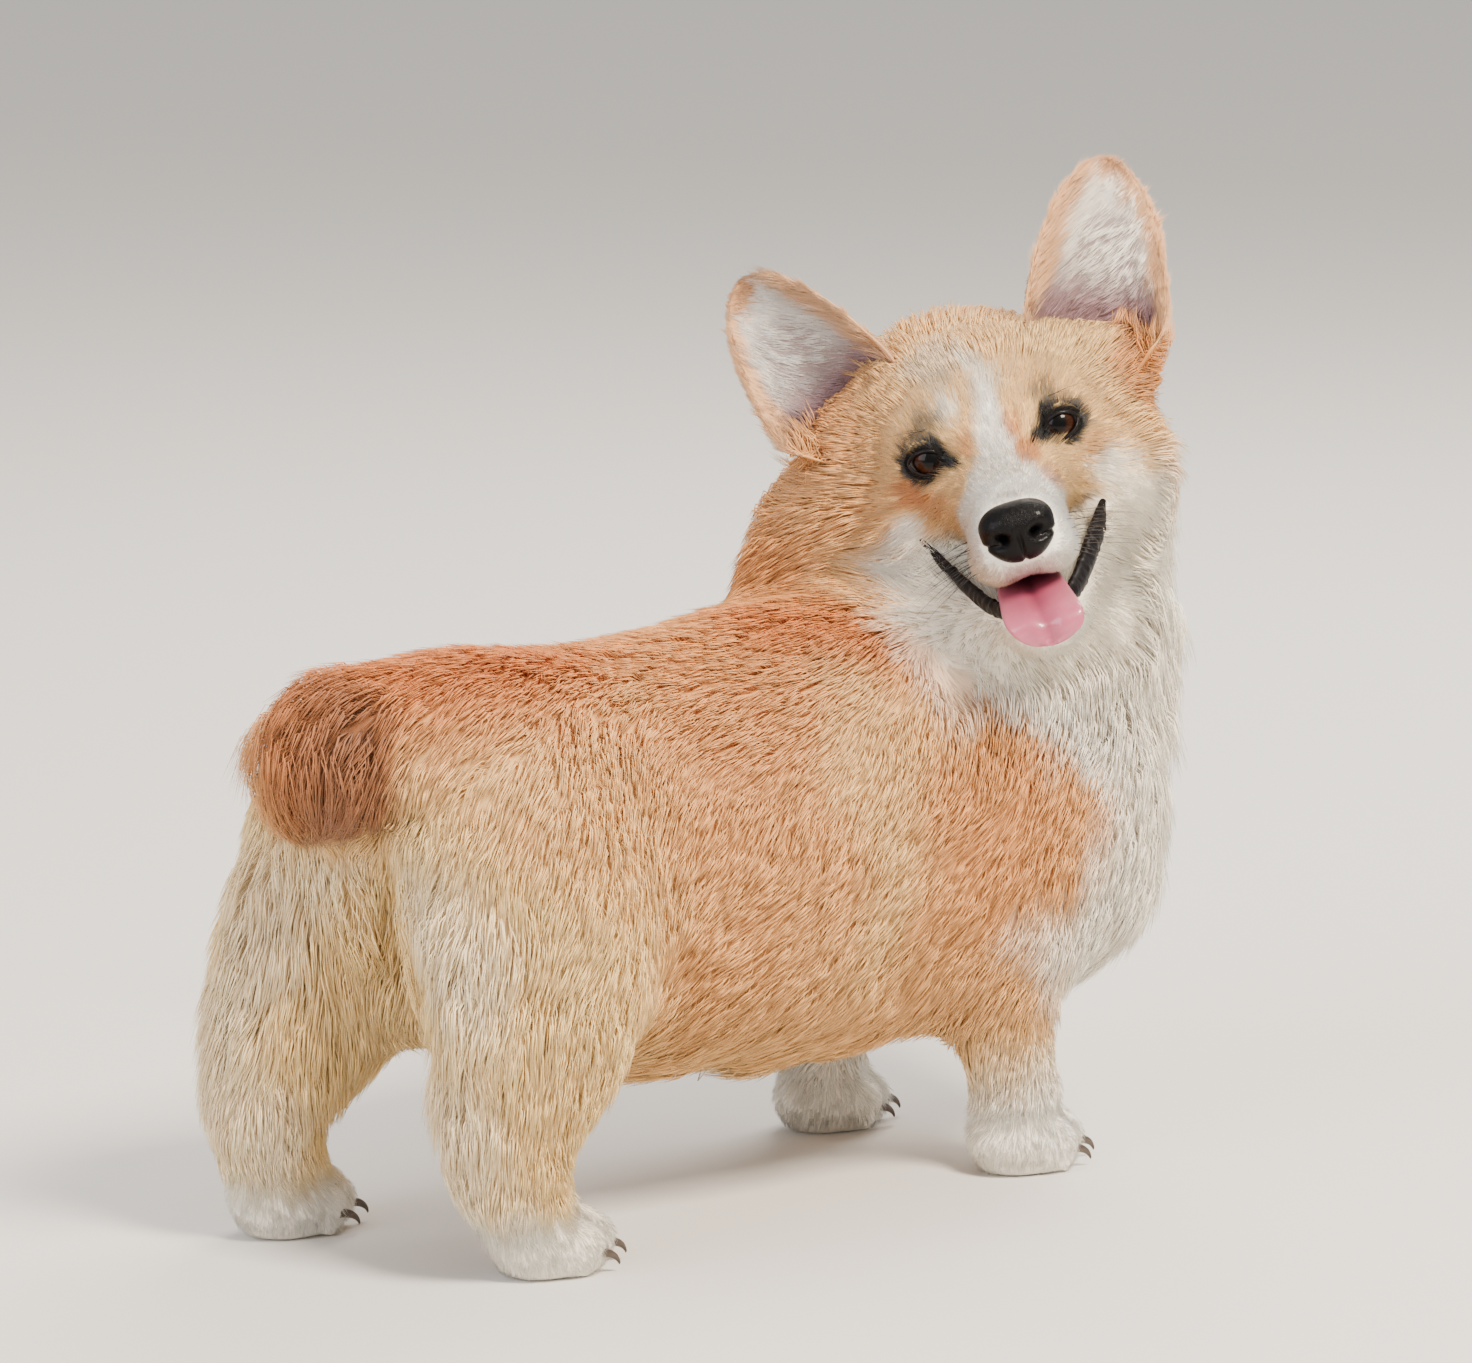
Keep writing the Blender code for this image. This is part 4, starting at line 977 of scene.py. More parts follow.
def shape_toes(points, normals):
    """Presses the clefts between the toes and sets the outer toes back."""
    for paw in PAWS:
        low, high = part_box(paw)
        share = toe_share(points, paw)
        half = (high[1] - low[1]) / 2
        across = points[:, 1] - (low[1] + high[1]) / 2
        for cleft in (-0.46, 0.0, 0.46):
            depth = 0.0042 * np.exp(-(((across - cleft * half) / 0.0026) ** 2)) * smooth(share, 0.0, 0.5)
            points = points - normals * (depth * smooth(points[:, 2], 0.001, 0.006))[:, None]
        points[:, 0] -= 0.007 * smooth(np.abs(across) / half, 0.40, 0.62) * smooth(share, 0.0, 0.4)
    return points


def unwrap(obj):
    activate(obj)
    bpy.ops.object.mode_set(mode="EDIT")
    bpy.ops.mesh.select_all(action="SELECT")
    bpy.ops.uv.smart_project(angle_limit=math.radians(66), island_margin=0.002)
    bpy.ops.object.mode_set(mode="OBJECT")
    obj.data.uv_layers[0].name = "OFBake"


def colour_skin(skin):
    mesh = skin.data
    points, normals = points_of(mesh), points_of(mesh, "normal")
    # the skin seen between the tufts is a little darker than the coat: partly the undercoat's tone, partly painted
    # shade under the coat
    colours = markings(points, normals) * 0.95
    # painted shade: the skin deep in each ear's cup is darkened under the pale hair
    for near, inside, s, across in ear_places(points, normals).values():
        colours = mix(colours, TINTS["pink"] * 0.6, 0.8 * inside * (1 - smooth(np.abs(across), 0.5, 0.8)) * (1 - smooth(s, 0.6, 0.9)))
    # the skin in the mouth's opening: its own dark colour, darker still as painted shade of the hollow
    colours = mix(colours, TINTS["mouth"], mouth_share(points))
    set_colours(mesh, colours)
    shade_smooth(mesh)
    mesh.materials.clear()
    mesh.materials.append(under_fur())


# ---------------------------------------------------------------- the coat

COAT_GROUPS = ("coat_back", "coat_flanks", "coat_neck", "coat_chest", "coat_rump", "coat_legs", "coat_head",
               "coat_face", "coat_ears", "coat_paws")
SHORT_GROUPS = ("coat_face", "coat_ears", "coat_paws")  # their tufts are plain spikes
MOST_TRIANGLES = 190_000


class SkinField:
    """The skin's shape and the coat's sizes, colours and lie on it, looked up by face and place in the face."""

    def __init__(self, skin):
        mesh = skin.data
        mesh.calc_loop_triangles()
        count = len(mesh.loop_triangles)
        self.corners = np.empty(count * 3, np.int64)
        mesh.loop_triangles.foreach_get("vertices", self.corners)
        self.corners = self.corners.reshape(-1, 3)
        loops = np.empty(count * 3, np.int64)
        mesh.loop_triangles.foreach_get("loops", loops)
        uv = np.empty(len(mesh.loops) * 2)
        mesh.uv_layers["OFBake"].data.foreach_get("uv", uv)
        self.uv = uv.reshape(-1, 2)[loops].reshape(-1, 3, 2)
        self.points, self.normals = points_of(mesh), points_of(mesh, "normal")
        self.sizes = coat_sizes(self.points)
        self.fit_ears()
        self.thin_bare_places()
        self.lie = lie_of_hair(self.points, self.normals)
        self.colours = markings(self.points, self.normals)
        self.tree = BVHTree.FromPolygons([tuple(p) for p in self.points], self.corners.tolist())
        sides = self.points[self.corners]
        cross = np.cross(sides[:, 1] - sides[:, 0], sides[:, 2] - sides[:, 0])
        self.areas = np.linalg.norm(cross, axis=1) / 2

    def fit_ears(self):
        self.on_ear = np.zeros(len(self.points))
        for name, (near, inside, s, across) in ear_places(self.points, self.normals).items():
            self.on_ear[near] = 1
            self.sizes[near, :SINK] = EAR_COAT
            inner_edge = -across * (1 if name == "ear_left" else -1)
            cup = inside & (s < 0.88)
            self.sizes[cup, :SINK] = mix(np.array(EAR_CUP_COAT), np.array(EAR_FRINGE), smooth(inner_edge, 0.25, 0.75))[cup]
            rim = near & (np.abs(across) > 0.86) & (s < 0.8)
            self.sizes[rim, :SINK] = EAR_RIM
            self.sizes[near & (s > 0.82), LENGTH] *= 0.6

    def thin_bare_places(self):
        """No hair in the mouth, on the nose, over the eyes or under the feet."""
        bare = mouth_share(self.points)
        h = to_head(self.points)
        bare = np.maximum(bare, ball(h, (0.080, 0.0, NOSE.z), (0.0165, 0.0190, 0.0150)) > 0.05)
        for side in (1, -1):
            place = eye_frame(side)
            local = (self.points - np.array(place.translation)) @ np.array(place.to_3x3())
            near = (np.linalg.norm(local, axis=1) < 1.5 * EYE_RADIUS) & (local[:, 0] > 0)
            bare = np.maximum(bare, near * (1 - smooth(almond(local), 1.05, 1.25)))
        bare = np.maximum(bare, (self.points[:, 2] < 0.004) & (self.normals[:, 2] < -0.3))
        self.sizes[:, NUMBER] *= 1 - np.clip(bare, 0, 1)

    def at(self, values, triangles, weights):
        return np.einsum("ij,ij...->i...", weights, values[self.corners[triangles]])

    def nearest(self, places):
        """The nearest places on the skin, with normals and lie there."""
        found = [self.tree.find_nearest(place) for place in places.tolist()]
        on_skin = np.array([hit[0] for hit in found])
        triangles = np.array([hit[2] for hit in found])
        normals = unit(self.normals[self.corners[triangles]].mean(axis=1))
        lie = self.lie[self.corners[triangles]].mean(axis=1)
        lie = unit(lie - normals * np.sum(lie * normals, axis=1, keepdims=True))
        return on_skin, normals, lie

    def scatter(self, random, density):
        """Random roots: triangle and weights within it for each."""
        number = self.sizes[:, NUMBER][self.corners].mean(axis=1) * 1e4 * density
        expected = number * self.areas
        count = int(expected.sum())
        triangles = np.searchsorted(np.cumsum(expected), random.uniform(0, expected.sum(), count))
        triangles = np.clip(triangles, 0, len(self.areas) - 1)
        a, b = random.uniform(size=(2, count))
        flip = a + b > 1
        a[flip], b[flip] = 1 - a[flip], 1 - b[flip]
        return triangles, np.stack([1 - a - b, a, b], axis=1)


def strands(field, triangles, weights, random, steps):
    """Centre lines of the tufts: where each ring of each tuft is, with its normal."""
    roots = field.at(field.points, triangles, weights)
    normals = unit(field.at(field.normals, triangles, weights))
    sizes = field.at(field.sizes, triangles, weights)
    lie = field.at(field.lie, triangles, weights)
    count = len(roots)
    length = sizes[:, LENGTH] * random.uniform(0.72, 1.15, count)
    height = sizes[:, HEIGHT] * random.uniform(0.55, 1.15, count) * (1 + 0.22 * noise(roots, 170, 8))
    turn = random.normal(0, 0.13, count) + 0.20 * noise(roots, 85, 6) + 0.10 * noise(roots, 230, 7)
    lie = unit(lie - normals * np.sum(lie * normals, axis=1, keepdims=True))
    lie = lie * np.cos(turn)[:, None] + np.cross(normals, lie) * np.sin(turn)[:, None]
    lines, ups = [roots - normals * (0.35 * height)[:, None]], [normals]
    place, heading, last = roots, lie, 0.0
    for step in steps:
        place = place + heading * (length * (step - last))[:, None]
        on_skin, up, fresh = field.nearest(place)
        past_edge = np.sum(up * normals, axis=1) < -0.1  # run on straight past an ear's edge
        on_skin[past_edge], up[past_edge], fresh[past_edge] = place[past_edge], normals[past_edge], heading[past_edge]
        heading = unit(heading - up * np.sum(heading * up, axis=1, keepdims=True))
        heading = unit(heading + 0.5 * fresh)
        ring = on_skin + up * (height * (0.30 + 0.70 * step**0.7))[:, None]
        ring[:, 2] = np.maximum(ring[:, 2], 0.0008)
        lines.append(ring)
        ups.append(up)
        place, last = on_skin, step
    return np.array(lines), np.array(ups), sizes


def gather(lines, sizes, random, clump_width=0.009):
    """Draws the tufts towards the tips of a few leaders, as clumps of fur."""
    roots = lines[0]
    share = np.clip((sizes[:, LENGTH] * 0.30 / clump_width) ** 2 / 6, 0.02, 0.10)
    leaders = np.flatnonzero(random.uniform(size=len(roots)) < share)
    tree = KDTree(len(leaders))
    for index, leader in enumerate(leaders):
        tree.insert(roots[leader], index)
    tree.balance()
    owner = leaders[np.array([tree.find(root)[1] for root in roots.tolist()])]
    pull = np.clip(random.normal(0.45, 0.15, len(roots)), 0, 0.8)
    apart = roots - roots[owner]
    near = np.exp(-((np.linalg.norm(apart, axis=1) / (0.45 * sizes[:, LENGTH])) ** 2))
    for step in range(1, len(lines)):
        along = step / (len(lines) - 1)
        goal = lines[step][owner] + apart * (1 - 0.75 * along)
        lines[step] = mix(lines[step], goal, pull * along * near)
    return lines, owner


def tuft_mesh(name, lines, ups, widths, colours, root_uv):
    """One mesh of closed, tapered three-sided tufts with their colours and a small patch of UV each."""
    rings, count = len(lines) - 1, lines.shape[1]
    taper = (0.8, 0.9) if rings > 1 else (1.0,)
    points = []
    for ring in range(rings):
        ahead = unit(lines[ring + 1] - lines[ring])
        side = unit(np.cross(ups[ring], ahead))
        half = side * (widths * taper[ring] / 2)[:, None]
        ridge = np.cross(ahead, side) * (widths * taper[ring] * 0.42)[:, None]
        points += [lines[ring] - half, lines[ring] + half, lines[ring] + ridge]
    points.append(lines[-1])
    each = 3 * rings + 1
    points = np.stack(points, axis=1).reshape(-1, 3)
    pattern = [(0, 2, 1)]
    for ring in range(rings - 1):
        for k in range(3):
            a, b = 3 * ring + k, 3 * ring + (k + 1) % 3
            pattern += [(a, b, b + 3), (a, b + 3, a + 3)]
    last = 3 * (rings - 1)
    pattern += [(last + k, last + (k + 1) % 3, each - 1) for k in range(3)]
    pattern = np.array(pattern)
    faces = (pattern[None] + each * np.arange(count)[:, None, None]).reshape(-1, 3)
    mesh = bpy.data.meshes.new(name)
    mesh.vertices.add(len(points))
    mesh.loops.add(faces.size)
    mesh.polygons.add(len(faces))
    mesh.vertices.foreach_set("co", points.astype(np.float32).ravel())
    mesh.loops.foreach_set("vertex_index", faces.astype(np.int32).ravel())
    mesh.polygons.foreach_set("loop_start", np.arange(0, faces.size, 3, dtype=np.int32))
    mesh.update(calc_edges=True)
    along = np.repeat(np.arange(rings + 1) / rings, [3] * rings + [1])
    # painted shade: each tuft is darker at its root, for the shade deep in the coat, and a little paler at its tip
    shade = np.interp(along, [0, 0.5, 1], [0.88, 0.98, 1.08])
    tint = (colours[:, None, :] * shade[None, :, None]).reshape(-1, 3)
    set_colours(mesh, np.clip(tint, 0, 1))
    across = np.concatenate([np.tile([0.0, 1.0, 0.5], rings), [0.5]])
    patch = (np.stack([across, along], axis=1) - 0.5) * 0.003
    uv = (root_uv[:, None, :] + patch[None]).reshape(-1, 2)[faces.ravel()]
    layer = mesh.uv_layers.new(name="OFBake")
    layer.data.foreach_set("uv", np.clip(uv, 0, 1).astype(np.float32).ravel())
    shade_smooth(mesh)
    return new_object(name, mesh)


def group_of(field, triangles, weights):
    """The number of each tuft's coat piece."""
    places = field.at(field.points, triangles, weights)
    b, h = to_body(places), to_head(places)
    group = np.where(b[:, 2] > 0.205, 0, 1)
    group[(b[:, 0] > 0.10) & (b[:, 2] > 0.20)] = 2
    group[b[:, 0] > 0.17] = 3
    group[b[:, 0] < -0.165] = 4
    group[b[:, 2] < 0.095] = 5
    group[b[:, 2] < 0.040] = 9
    on_head = head_share(places) > 0.5
    group[on_head] = 6
    group[on_head & (h[:, 0] > -0.025)] = 7
    group[field.at(field.on_ear, triangles, weights) > 0.5] = 8
    return group


def make_coat(field, sizes):
    random = np.random.default_rng(SEED)
    material = guard_hair()
    pieces = []
    triangles, weights = field.scatter(random, sizes.coat_density)
    group = group_of(field, triangles, weights)
    for number, name in enumerate(COAT_GROUPS):
        chosen = np.flatnonzero(group == number)
        if not len(chosen):
            continue
        tri, wts = triangles[chosen], weights[chosen]
        steps = (1.0,) if name in SHORT_GROUPS else (0.48, 1.0)
        lines, ups, coat = strands(field, tri, wts, random, steps)
        lines, owner = gather(lines, coat, random)
        colour = field.at(field.colours, tri, wts)
        tone = random.normal(1.0, 0.09, len(tri)) * random.normal(1.0, 0.05, len(tri))[owner]
        colour = colour * np.clip(tone, 0.65, 1.3)[:, None]
        width = coat[:, WIDTH] * random.uniform(0.75, 1.2, len(tri))
        root_uv = np.einsum("ij,ijk->ik", wts, field.uv[tri])
        each = 6 * (len(lines) - 2) + 4
        parts = math.ceil(len(tri) * each / MOST_TRIANGLES)
        for part in range(parts):
            pick = slice(part, None, parts)
            label = name if parts == 1 else f"{name}_{part + 1}"
            piece = tuft_mesh(
                label, lines[:, pick], ups[:, pick], width[pick], colour[pick], root_uv[pick]
            )
            piece.data.materials.append(material)
            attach(piece, "root")
            pieces.append(piece)
    return pieces


# ---------------------------------------------------------------- eyes, nose, mouth


def camera_axes():
    turn, rise = math.radians(CAMERA_TURN), math.radians(CAMERA_HEIGHT)
    back = Vector((math.sin(turn) * math.cos(rise), -math.cos(turn) * math.cos(rise), math.sin(rise)))
    right = Vector((math.cos(turn), math.sin(turn), 0))
    return right, back.cross(right), back


def make_eye(side):
    """The eyeball, turned to look at the camera, with its iris, pupil and the bulge of the cornea."""
    name = "eyeball_left" if side > 0 else "eyeball_right"
    activate(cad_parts["torso"]).select_set(False)
    bpy.ops.mesh.primitive_uv_sphere_add(segments=72, ring_count=64, radius=EYE_RADIUS)
    ball_object = bpy.context.active_object
    ball_object.name = name
    mesh = ball_object.data
    points = points_of(mesh)
    angle = np.arccos(np.clip(points[:, 2] / np.linalg.norm(points, axis=1), -1, 1))
    turned = np.arctan2(points[:, 1], points[:, 0])
    cornea = 1 - smooth(angle, 0.60, 0.95)
    set_points(mesh, points * (1 + 0.055 * cornea)[:, None])
    streaks = 0.5 + 0.5 * np.sin(turned * 31 + 2.1 * np.sin(turned * 7))
    iris = mix(np.array(linear("#0d0502")), np.array(linear("#3a1d0d")), (0.25 + 0.35 * streaks) * smooth(angle, 0.3, 0.5))
    iris = mix(iris, np.array(linear("#0b0605")), smooth(angle, 0.66, 0.82))
    white = mix(iris, np.array(linear("#4a3a33")), smooth(angle, 0.90, 1.0))
    colour = mix(white, np.array(linear("#030303")), 1 - smooth(angle, 0.30, 0.36))
    set_colours(mesh, colour, "eye_colour")
    shade_smooth(mesh)
    back = camera_axes()[2]
    place = HEAD @ Vector((EYE.x - 0.0012, side * (EYE.y - 0.0005), EYE.z))
    mesh.transform(Matrix.Translation(place) @ back.to_track_quat("Z", "Y").to_matrix().to_4x4())
    mesh.materials.append(wet_eye())
    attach(ball_object, "root")
    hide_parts("eye_left" if side > 0 else "eye_right")
    return ball_object


def make_lid_rim(side):
    """The bare black edge of the lids, round the almond of the eye."""
    place = eye_frame(side)
    half_width, half_height = EYE_OPENING
    centres, sides, ups = [], [], []
    for k in range(56):
        angle = math.tau * k / 56
        across = half_width * 1.04 * math.cos(angle)
        up = half_height * 1.04 * math.copysign(abs(math.sin(angle)) ** 1.3, math.sin(angle))
        reach = EYE_RADIUS + 0.0003
        out = math.sqrt(max(reach**2 - across**2 - up**2, 1e-8))
        middle = Vector((out, across, up))
        outward = middle.normalized()
        along = Vector((0, -half_width * math.sin(angle), half_height * math.cos(angle))).normalized()
        flat = outward.cross(along).normalized()
        centres.append(place @ middle)
        sides.append(place.to_3x3() @ flat * 0.0010)
        ups.append(place.to_3x3() @ outward * 0.0007)
    rim = tube("lid_rim_left" if side > 0 else "lid_rim_right", centres, sides, ups, closed=True)
    rim.data.materials.append(lip_skin())
    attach(rim, "root")
    return rim




def make_nose():
    """Nose leather: flat-fronted and wide at the top, with comma nostrils and the groove between them."""
    activate(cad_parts["torso"]).select_set(False)
    bpy.ops.mesh.primitive_uv_sphere_add(segments=128, ring_count=96, radius=1.0)
    nose = bpy.context.active_object
    nose.name = "nose_leather"
    mesh = nose.data
    p = points_of(mesh)[:, [2, 1, 0]] * np.array((1, 1, -1))
    f, l, u = p.T
    side = np.abs(l)
    shape = p.copy()
    square = (side**2.7 + np.abs(u) ** 2.7 + 1e-9) ** (1 / 2.7)
    shape[:, 1:] *= (np.sqrt(l**2 + u**2) / np.maximum(square, 1e-6))[:, None]
    shape[:, 0] = np.where(f > 0, np.sign(f) * np.abs(f) ** 0.75, f)
    shape[:, 1] *= 1 + 0.04 * smooth(u, -0.3, 0.5) - 0.20 * smooth(-u, 0.1, 0.9)
    place = shape * np.array(NOSE_RADII)
    mm = 0.001
    nostril = np.exp(-(((side - 0.52) / 0.20) ** 2 + ((u + 0.10) / 0.20) ** 2)) * (f > 0)
    slit = np.exp(-(((side - 0.80) / 0.24) ** 2 + ((u + 0.30 - 0.25 * (side - 0.7)) / 0.07) ** 2)) * (f > -0.3)
    groove = np.exp(-((l / 0.07) ** 2)) * smooth(-u, -0.35, 0.2) * (f > 0)
    wing = np.exp(-(((side - 0.62) / 0.25) ** 2 + ((u - 0.28) / 0.28) ** 2)) * (f > 0)
    normal = unit(p / np.array(NOSE_RADII))
    push = -7.0 * mm * nostril - 2.2 * mm * slit - 1.3 * mm * groove + 0.8 * mm * wing
    place = place + normal * push[:, None] + np.array(NOSE)
    set_points(mesh, place)
    activate(nose)
    bpy.ops.object.mode_set(mode="EDIT")
    bpy.ops.mesh.select_all(action="SELECT")
    bpy.ops.mesh.normals_make_consistent(inside=False)
    bpy.ops.object.mode_set(mode="OBJECT")
    shade_smooth(mesh)
    place_in_head(nose)
    mesh.materials.append(nose_leather())
    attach(nose, "root")
    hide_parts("nose")
    return nose


TONGUE = (
    (0.010, -0.002, -0.0500, 0.0130, 0.0030),
    (0.035, -0.002, -0.0615, 0.0150, 0.0034),
    (0.062, -0.001, -0.0690, 0.0170, 0.0038),
    (0.079, 0.000, -0.0728, 0.0182, 0.0036),
    (0.0870, 0.001, -0.0765, 0.0184, 0.0034),
    (0.0888, 0.002, -0.0815, 0.0162, 0.0032),
    (0.0888, 0.002, -0.0850, 0.0122, 0.0028),
    (0.0887, 0.002, -0.0872, 0.0076, 0.0022),
    (0.0886, 0.002, -0.0882, 0.0030, 0.0014),
)


def make_tongue():
    """The tongue, hanging over the chin, with its groove, raised edges and folds where it bends."""
    rows = curve_through(TONGUE, 64)
    around = 40
    points, faces, colours = [], [], []
    for r, (f, l, u, half_width, half_height) in enumerate(rows):
        ahead = rows[min(r + 1, 63)][:3] - rows[max(r - 1, 0)][:3]
        ahead = Vector(ahead).normalized()
        left = Vector((0, 1, 0))
        top = ahead.cross(left).normalized()
        for k in range(around):
            angle = math.tau * k / around
            across, rise = math.cos(angle), math.sin(angle)
            lift = half_height * math.copysign(abs(rise) ** 0.7, rise)
            share = r / 63
            groove = -0.0016 * math.exp(-((across / 0.16) ** 2)) * (rise > 0) * (1 - share**6)
            curl = 0.0014 * across**4 * (1 - 0.5 * share)
            dent = -0.0016 * math.exp(-(((across - 0.12) / 0.20) ** 2) - ((share - 0.50) / 0.05) ** 2) * (rise > 0)
            ripple = 0.0005 * math.sin(21 * share + 3 * across) * math.sin(5 * across + 8 * share) * (rise > 0) * smooth(share, 0.3, 0.6)
            fold = dent + ripple + 0.0010 * math.exp(-(((abs(across) - 0.42) / 0.16) ** 2)) * (rise > 0) * share
            middle = Vector((f, l, u))
            points.append(middle + left * half_width * across + top * (lift + groove + curl + fold))
            pale = 0.3 * abs(across) + 0.15 * share
            # painted shade: the tongue is darker along the groove on its top
            painted_groove_shade = math.exp(-((across / 0.14) ** 2)) * (rise > 0)
            base = mix(np.array(linear("#a2465f")), np.array(linear("#cb7189")), pale)
            colours.append(mix(base, np.array(linear("#7f3348")), 0.55 * painted_groove_shade))
    for r in range(63):
        for k in range(around):
            a, b = r * around + k, r * around + (k + 1) % around
            faces.append((a, b, b + around, a + around))
    faces.append(tuple(range(around))[::-1])
    faces.append(tuple(63 * around + k for k in range(around)))
    tongue = mesh_object("tongue_flesh", points, faces)
    shape = bmesh.new()
    shape.from_mesh(tongue.data)
    bmesh.ops.recalc_face_normals(shape, faces=shape.faces)
    shape.to_mesh(tongue.data)
    shape.free()
    set_colours(tongue.data, np.array(colours), "flesh_colour")
    shade_smooth(tongue.data)
    place_in_head(tongue)
    tongue.data.materials.append(tongue_flesh())
    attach(tongue, "root")
    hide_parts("tongue")
    return tongue


# The lower lip from each corner of the mouth to under the tongue: place in the head's frame, half height
# and half thickness. The left one is drawn back further and shows more.
LIPS = {
    "lip_right": (
        (-0.0085, -0.0472, -0.0340, 0.0014, 0.0014),
        (-0.0020, -0.0440, -0.0410, 0.0024, 0.0022),
        (0.0050, -0.0402, -0.0485, 0.0032, 0.0028),
        (0.0150, -0.0352, -0.0560, 0.0038, 0.0032),
        (0.0280, -0.0298, -0.0630, 0.0044, 0.0034),
        (0.0420, -0.0245, -0.0685, 0.0046, 0.0034),
        (0.0560, -0.0175, -0.0720, 0.0042, 0.0032),
        (0.0660, -0.0080, -0.0755, 0.0032, 0.0026),
    ),
    "lip_left": (
        (-0.0075, 0.0440, -0.0405, 0.0010, 0.0010),
        (-0.0040, 0.0425, -0.0435, 0.0030, 0.0024),
        (0.0020, 0.0402, -0.0480, 0.0046, 0.0034),
        (0.0100, 0.0362, -0.0535, 0.0058, 0.0042),
        (0.0200, 0.0318, -0.0588, 0.0060, 0.0044),
        (0.0320, 0.0270, -0.0640, 0.0058, 0.0044),
        (0.0440, 0.0222, -0.0685, 0.0052, 0.0040),
        (0.0560, 0.0165, -0.0720, 0.0044, 0.0034),
        (0.0660, 0.0080, -0.0755, 0.0032, 0.0026),
    ),
}


def make_lip(name, stations):
    """One side of the lower lip: a soft black band with a ragged, beaded edge."""
    rings = 72
    rows = curve_through(stations, rings)
    centres, sides, ups = [], [], []
    for r, (f, l, u, tall, thick) in enumerate(rows):
        ahead = Vector(rows[min(r + 1, rings - 1)][:3] - rows[max(r - 1, 0)][:3]).normalized()
        out = ahead.cross(Vector((0, 0, 1))).normalized()
        up = out.cross(ahead).normalized()
        inward = 0.0016 * min(1.0, 6 * r / rings)
        centres.append(HEAD @ (Vector((f, l, u)) - Vector((0.6, math.copysign(0.8, l), 0)) * inward))
        sides.append(HEAD.to_3x3() @ out * thick * 0.8)
        ups.append(HEAD.to_3x3() @ up * tall)
    lip = tube(name, centres, sides, ups)
    add_modifier(lip, "SUBSURF", levels=2, render_levels=2)
    points, normals = points_of(lip.data), points_of(lip.data, "normal")
    lumps = 0.00050 * noise(points, 620, 9) * noise(points, 800, 10)
    set_points(lip.data, points + normals * lumps[:, None])
    lip.data.materials.append(lip_skin())
    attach(lip, "root")
    return lip


def make_whiskers(field):
    """Stiff whiskers from the pads of the upper lip and the brows."""
    random = np.random.default_rng(SEED + 1)
    points, faces = [], []
    roots = []
    for side in (1, -1):
        for row in range(4):
            for k in range(4):
                roots.append((Vector((0.062 - 0.008 * k, side * 0.026, -0.036 - 0.005 * row)), side, 0.034))
        roots += [(Vector((0.000, side * 0.030, 0.018)), side, 0.020) for _ in range(3)]
    for root, side, reach in roots:
        jitter = Vector(random.normal(0, 0.0010, 3))
        start = HEAD @ (root + jitter)
        on_skin, normal, _ = field.nearest(np.array([start]))
        start = Vector(on_skin[0]) - Vector(normal[0]) * 0.001
        outward = HEAD.to_3x3() @ Vector((-0.25, side * 0.9, -0.25)) + Vector(normal[0]) * 0.6
        outward = (outward + Vector(random.normal(0, 0.18, 3))).normalized()
        droop = HEAD.to_3x3() @ Vector((-0.5, 0.1 * side, -0.6))
        length = reach * random.uniform(0.65, 1.15)
        first = len(points)
        for ring in range(8):
            t = ring / 7
            middle = start + outward * length * t + droop * length * 0.28 * t * t
            radius = 0.00024 * (1 - 0.85 * t)
            flat = outward.orthogonal().normalized()
            other = outward.cross(flat)
            for k in range(4):
                angle = math.tau * k / 4
                points.append(middle + flat * radius * math.cos(angle) + other * radius * math.sin(angle))
        for ring in range(7):
            for k in range(4):
                a, b = first + ring * 4 + k, first + ring * 4 + (k + 1) % 4
                faces.append((a, b, b + 4, a + 4))
        faces.append((first + 3, first + 2, first + 1, first))
        faces.append(tuple(first + 28 + k for k in range(4)))
    whiskers = mesh_object("whiskers", points, faces)
    shade_smooth(whiskers.data)
    whiskers.data.materials.append(whisker_keratin())
    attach(whiskers, "root")
    return whiskers


def make_claws():
    """Four blunt claws to each paw, out of the toes and curving down."""
    skin = bpy.data.objects["skin"].data
    tree = BVHTree.FromPolygons([v.co for v in skin.vertices], [list(face.vertices) for face in skin.polygons])
    material = claw_horn()
    for paw in PAWS:
        low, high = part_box(paw)
        for number, toe in enumerate(TOES):
            spread = toe * (high[1] - low[1]) / 2
            start = Vector((high[0] + 0.03, (low[1] + high[1]) / 2 + spread, 0.0105))
            hit = tree.ray_cast(start, Vector((-1, 0, 0)))[0]
            centres, sides, ups = [], [], []
            for k in range(11):
                t = k / 10
                centres.append(hit + Vector((-0.004 + 0.0125 * math.sin(1.35 * t), spread * 0.06 * t, -0.0062 * t * t)))
                radius = 0.0023 * (1 - 0.70 * t**1.6)
                sides.append(Vector((0, radius * 0.8, 0)))
                ups.append(Vector((0.5 * radius * t, 0, radius)))
            claw = tube(f"claw_{paw}_{number + 1}", centres, sides, ups)
            claw.data.materials.append(material)
            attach(claw, "root")


# ---------------------------------------------------------------- studio


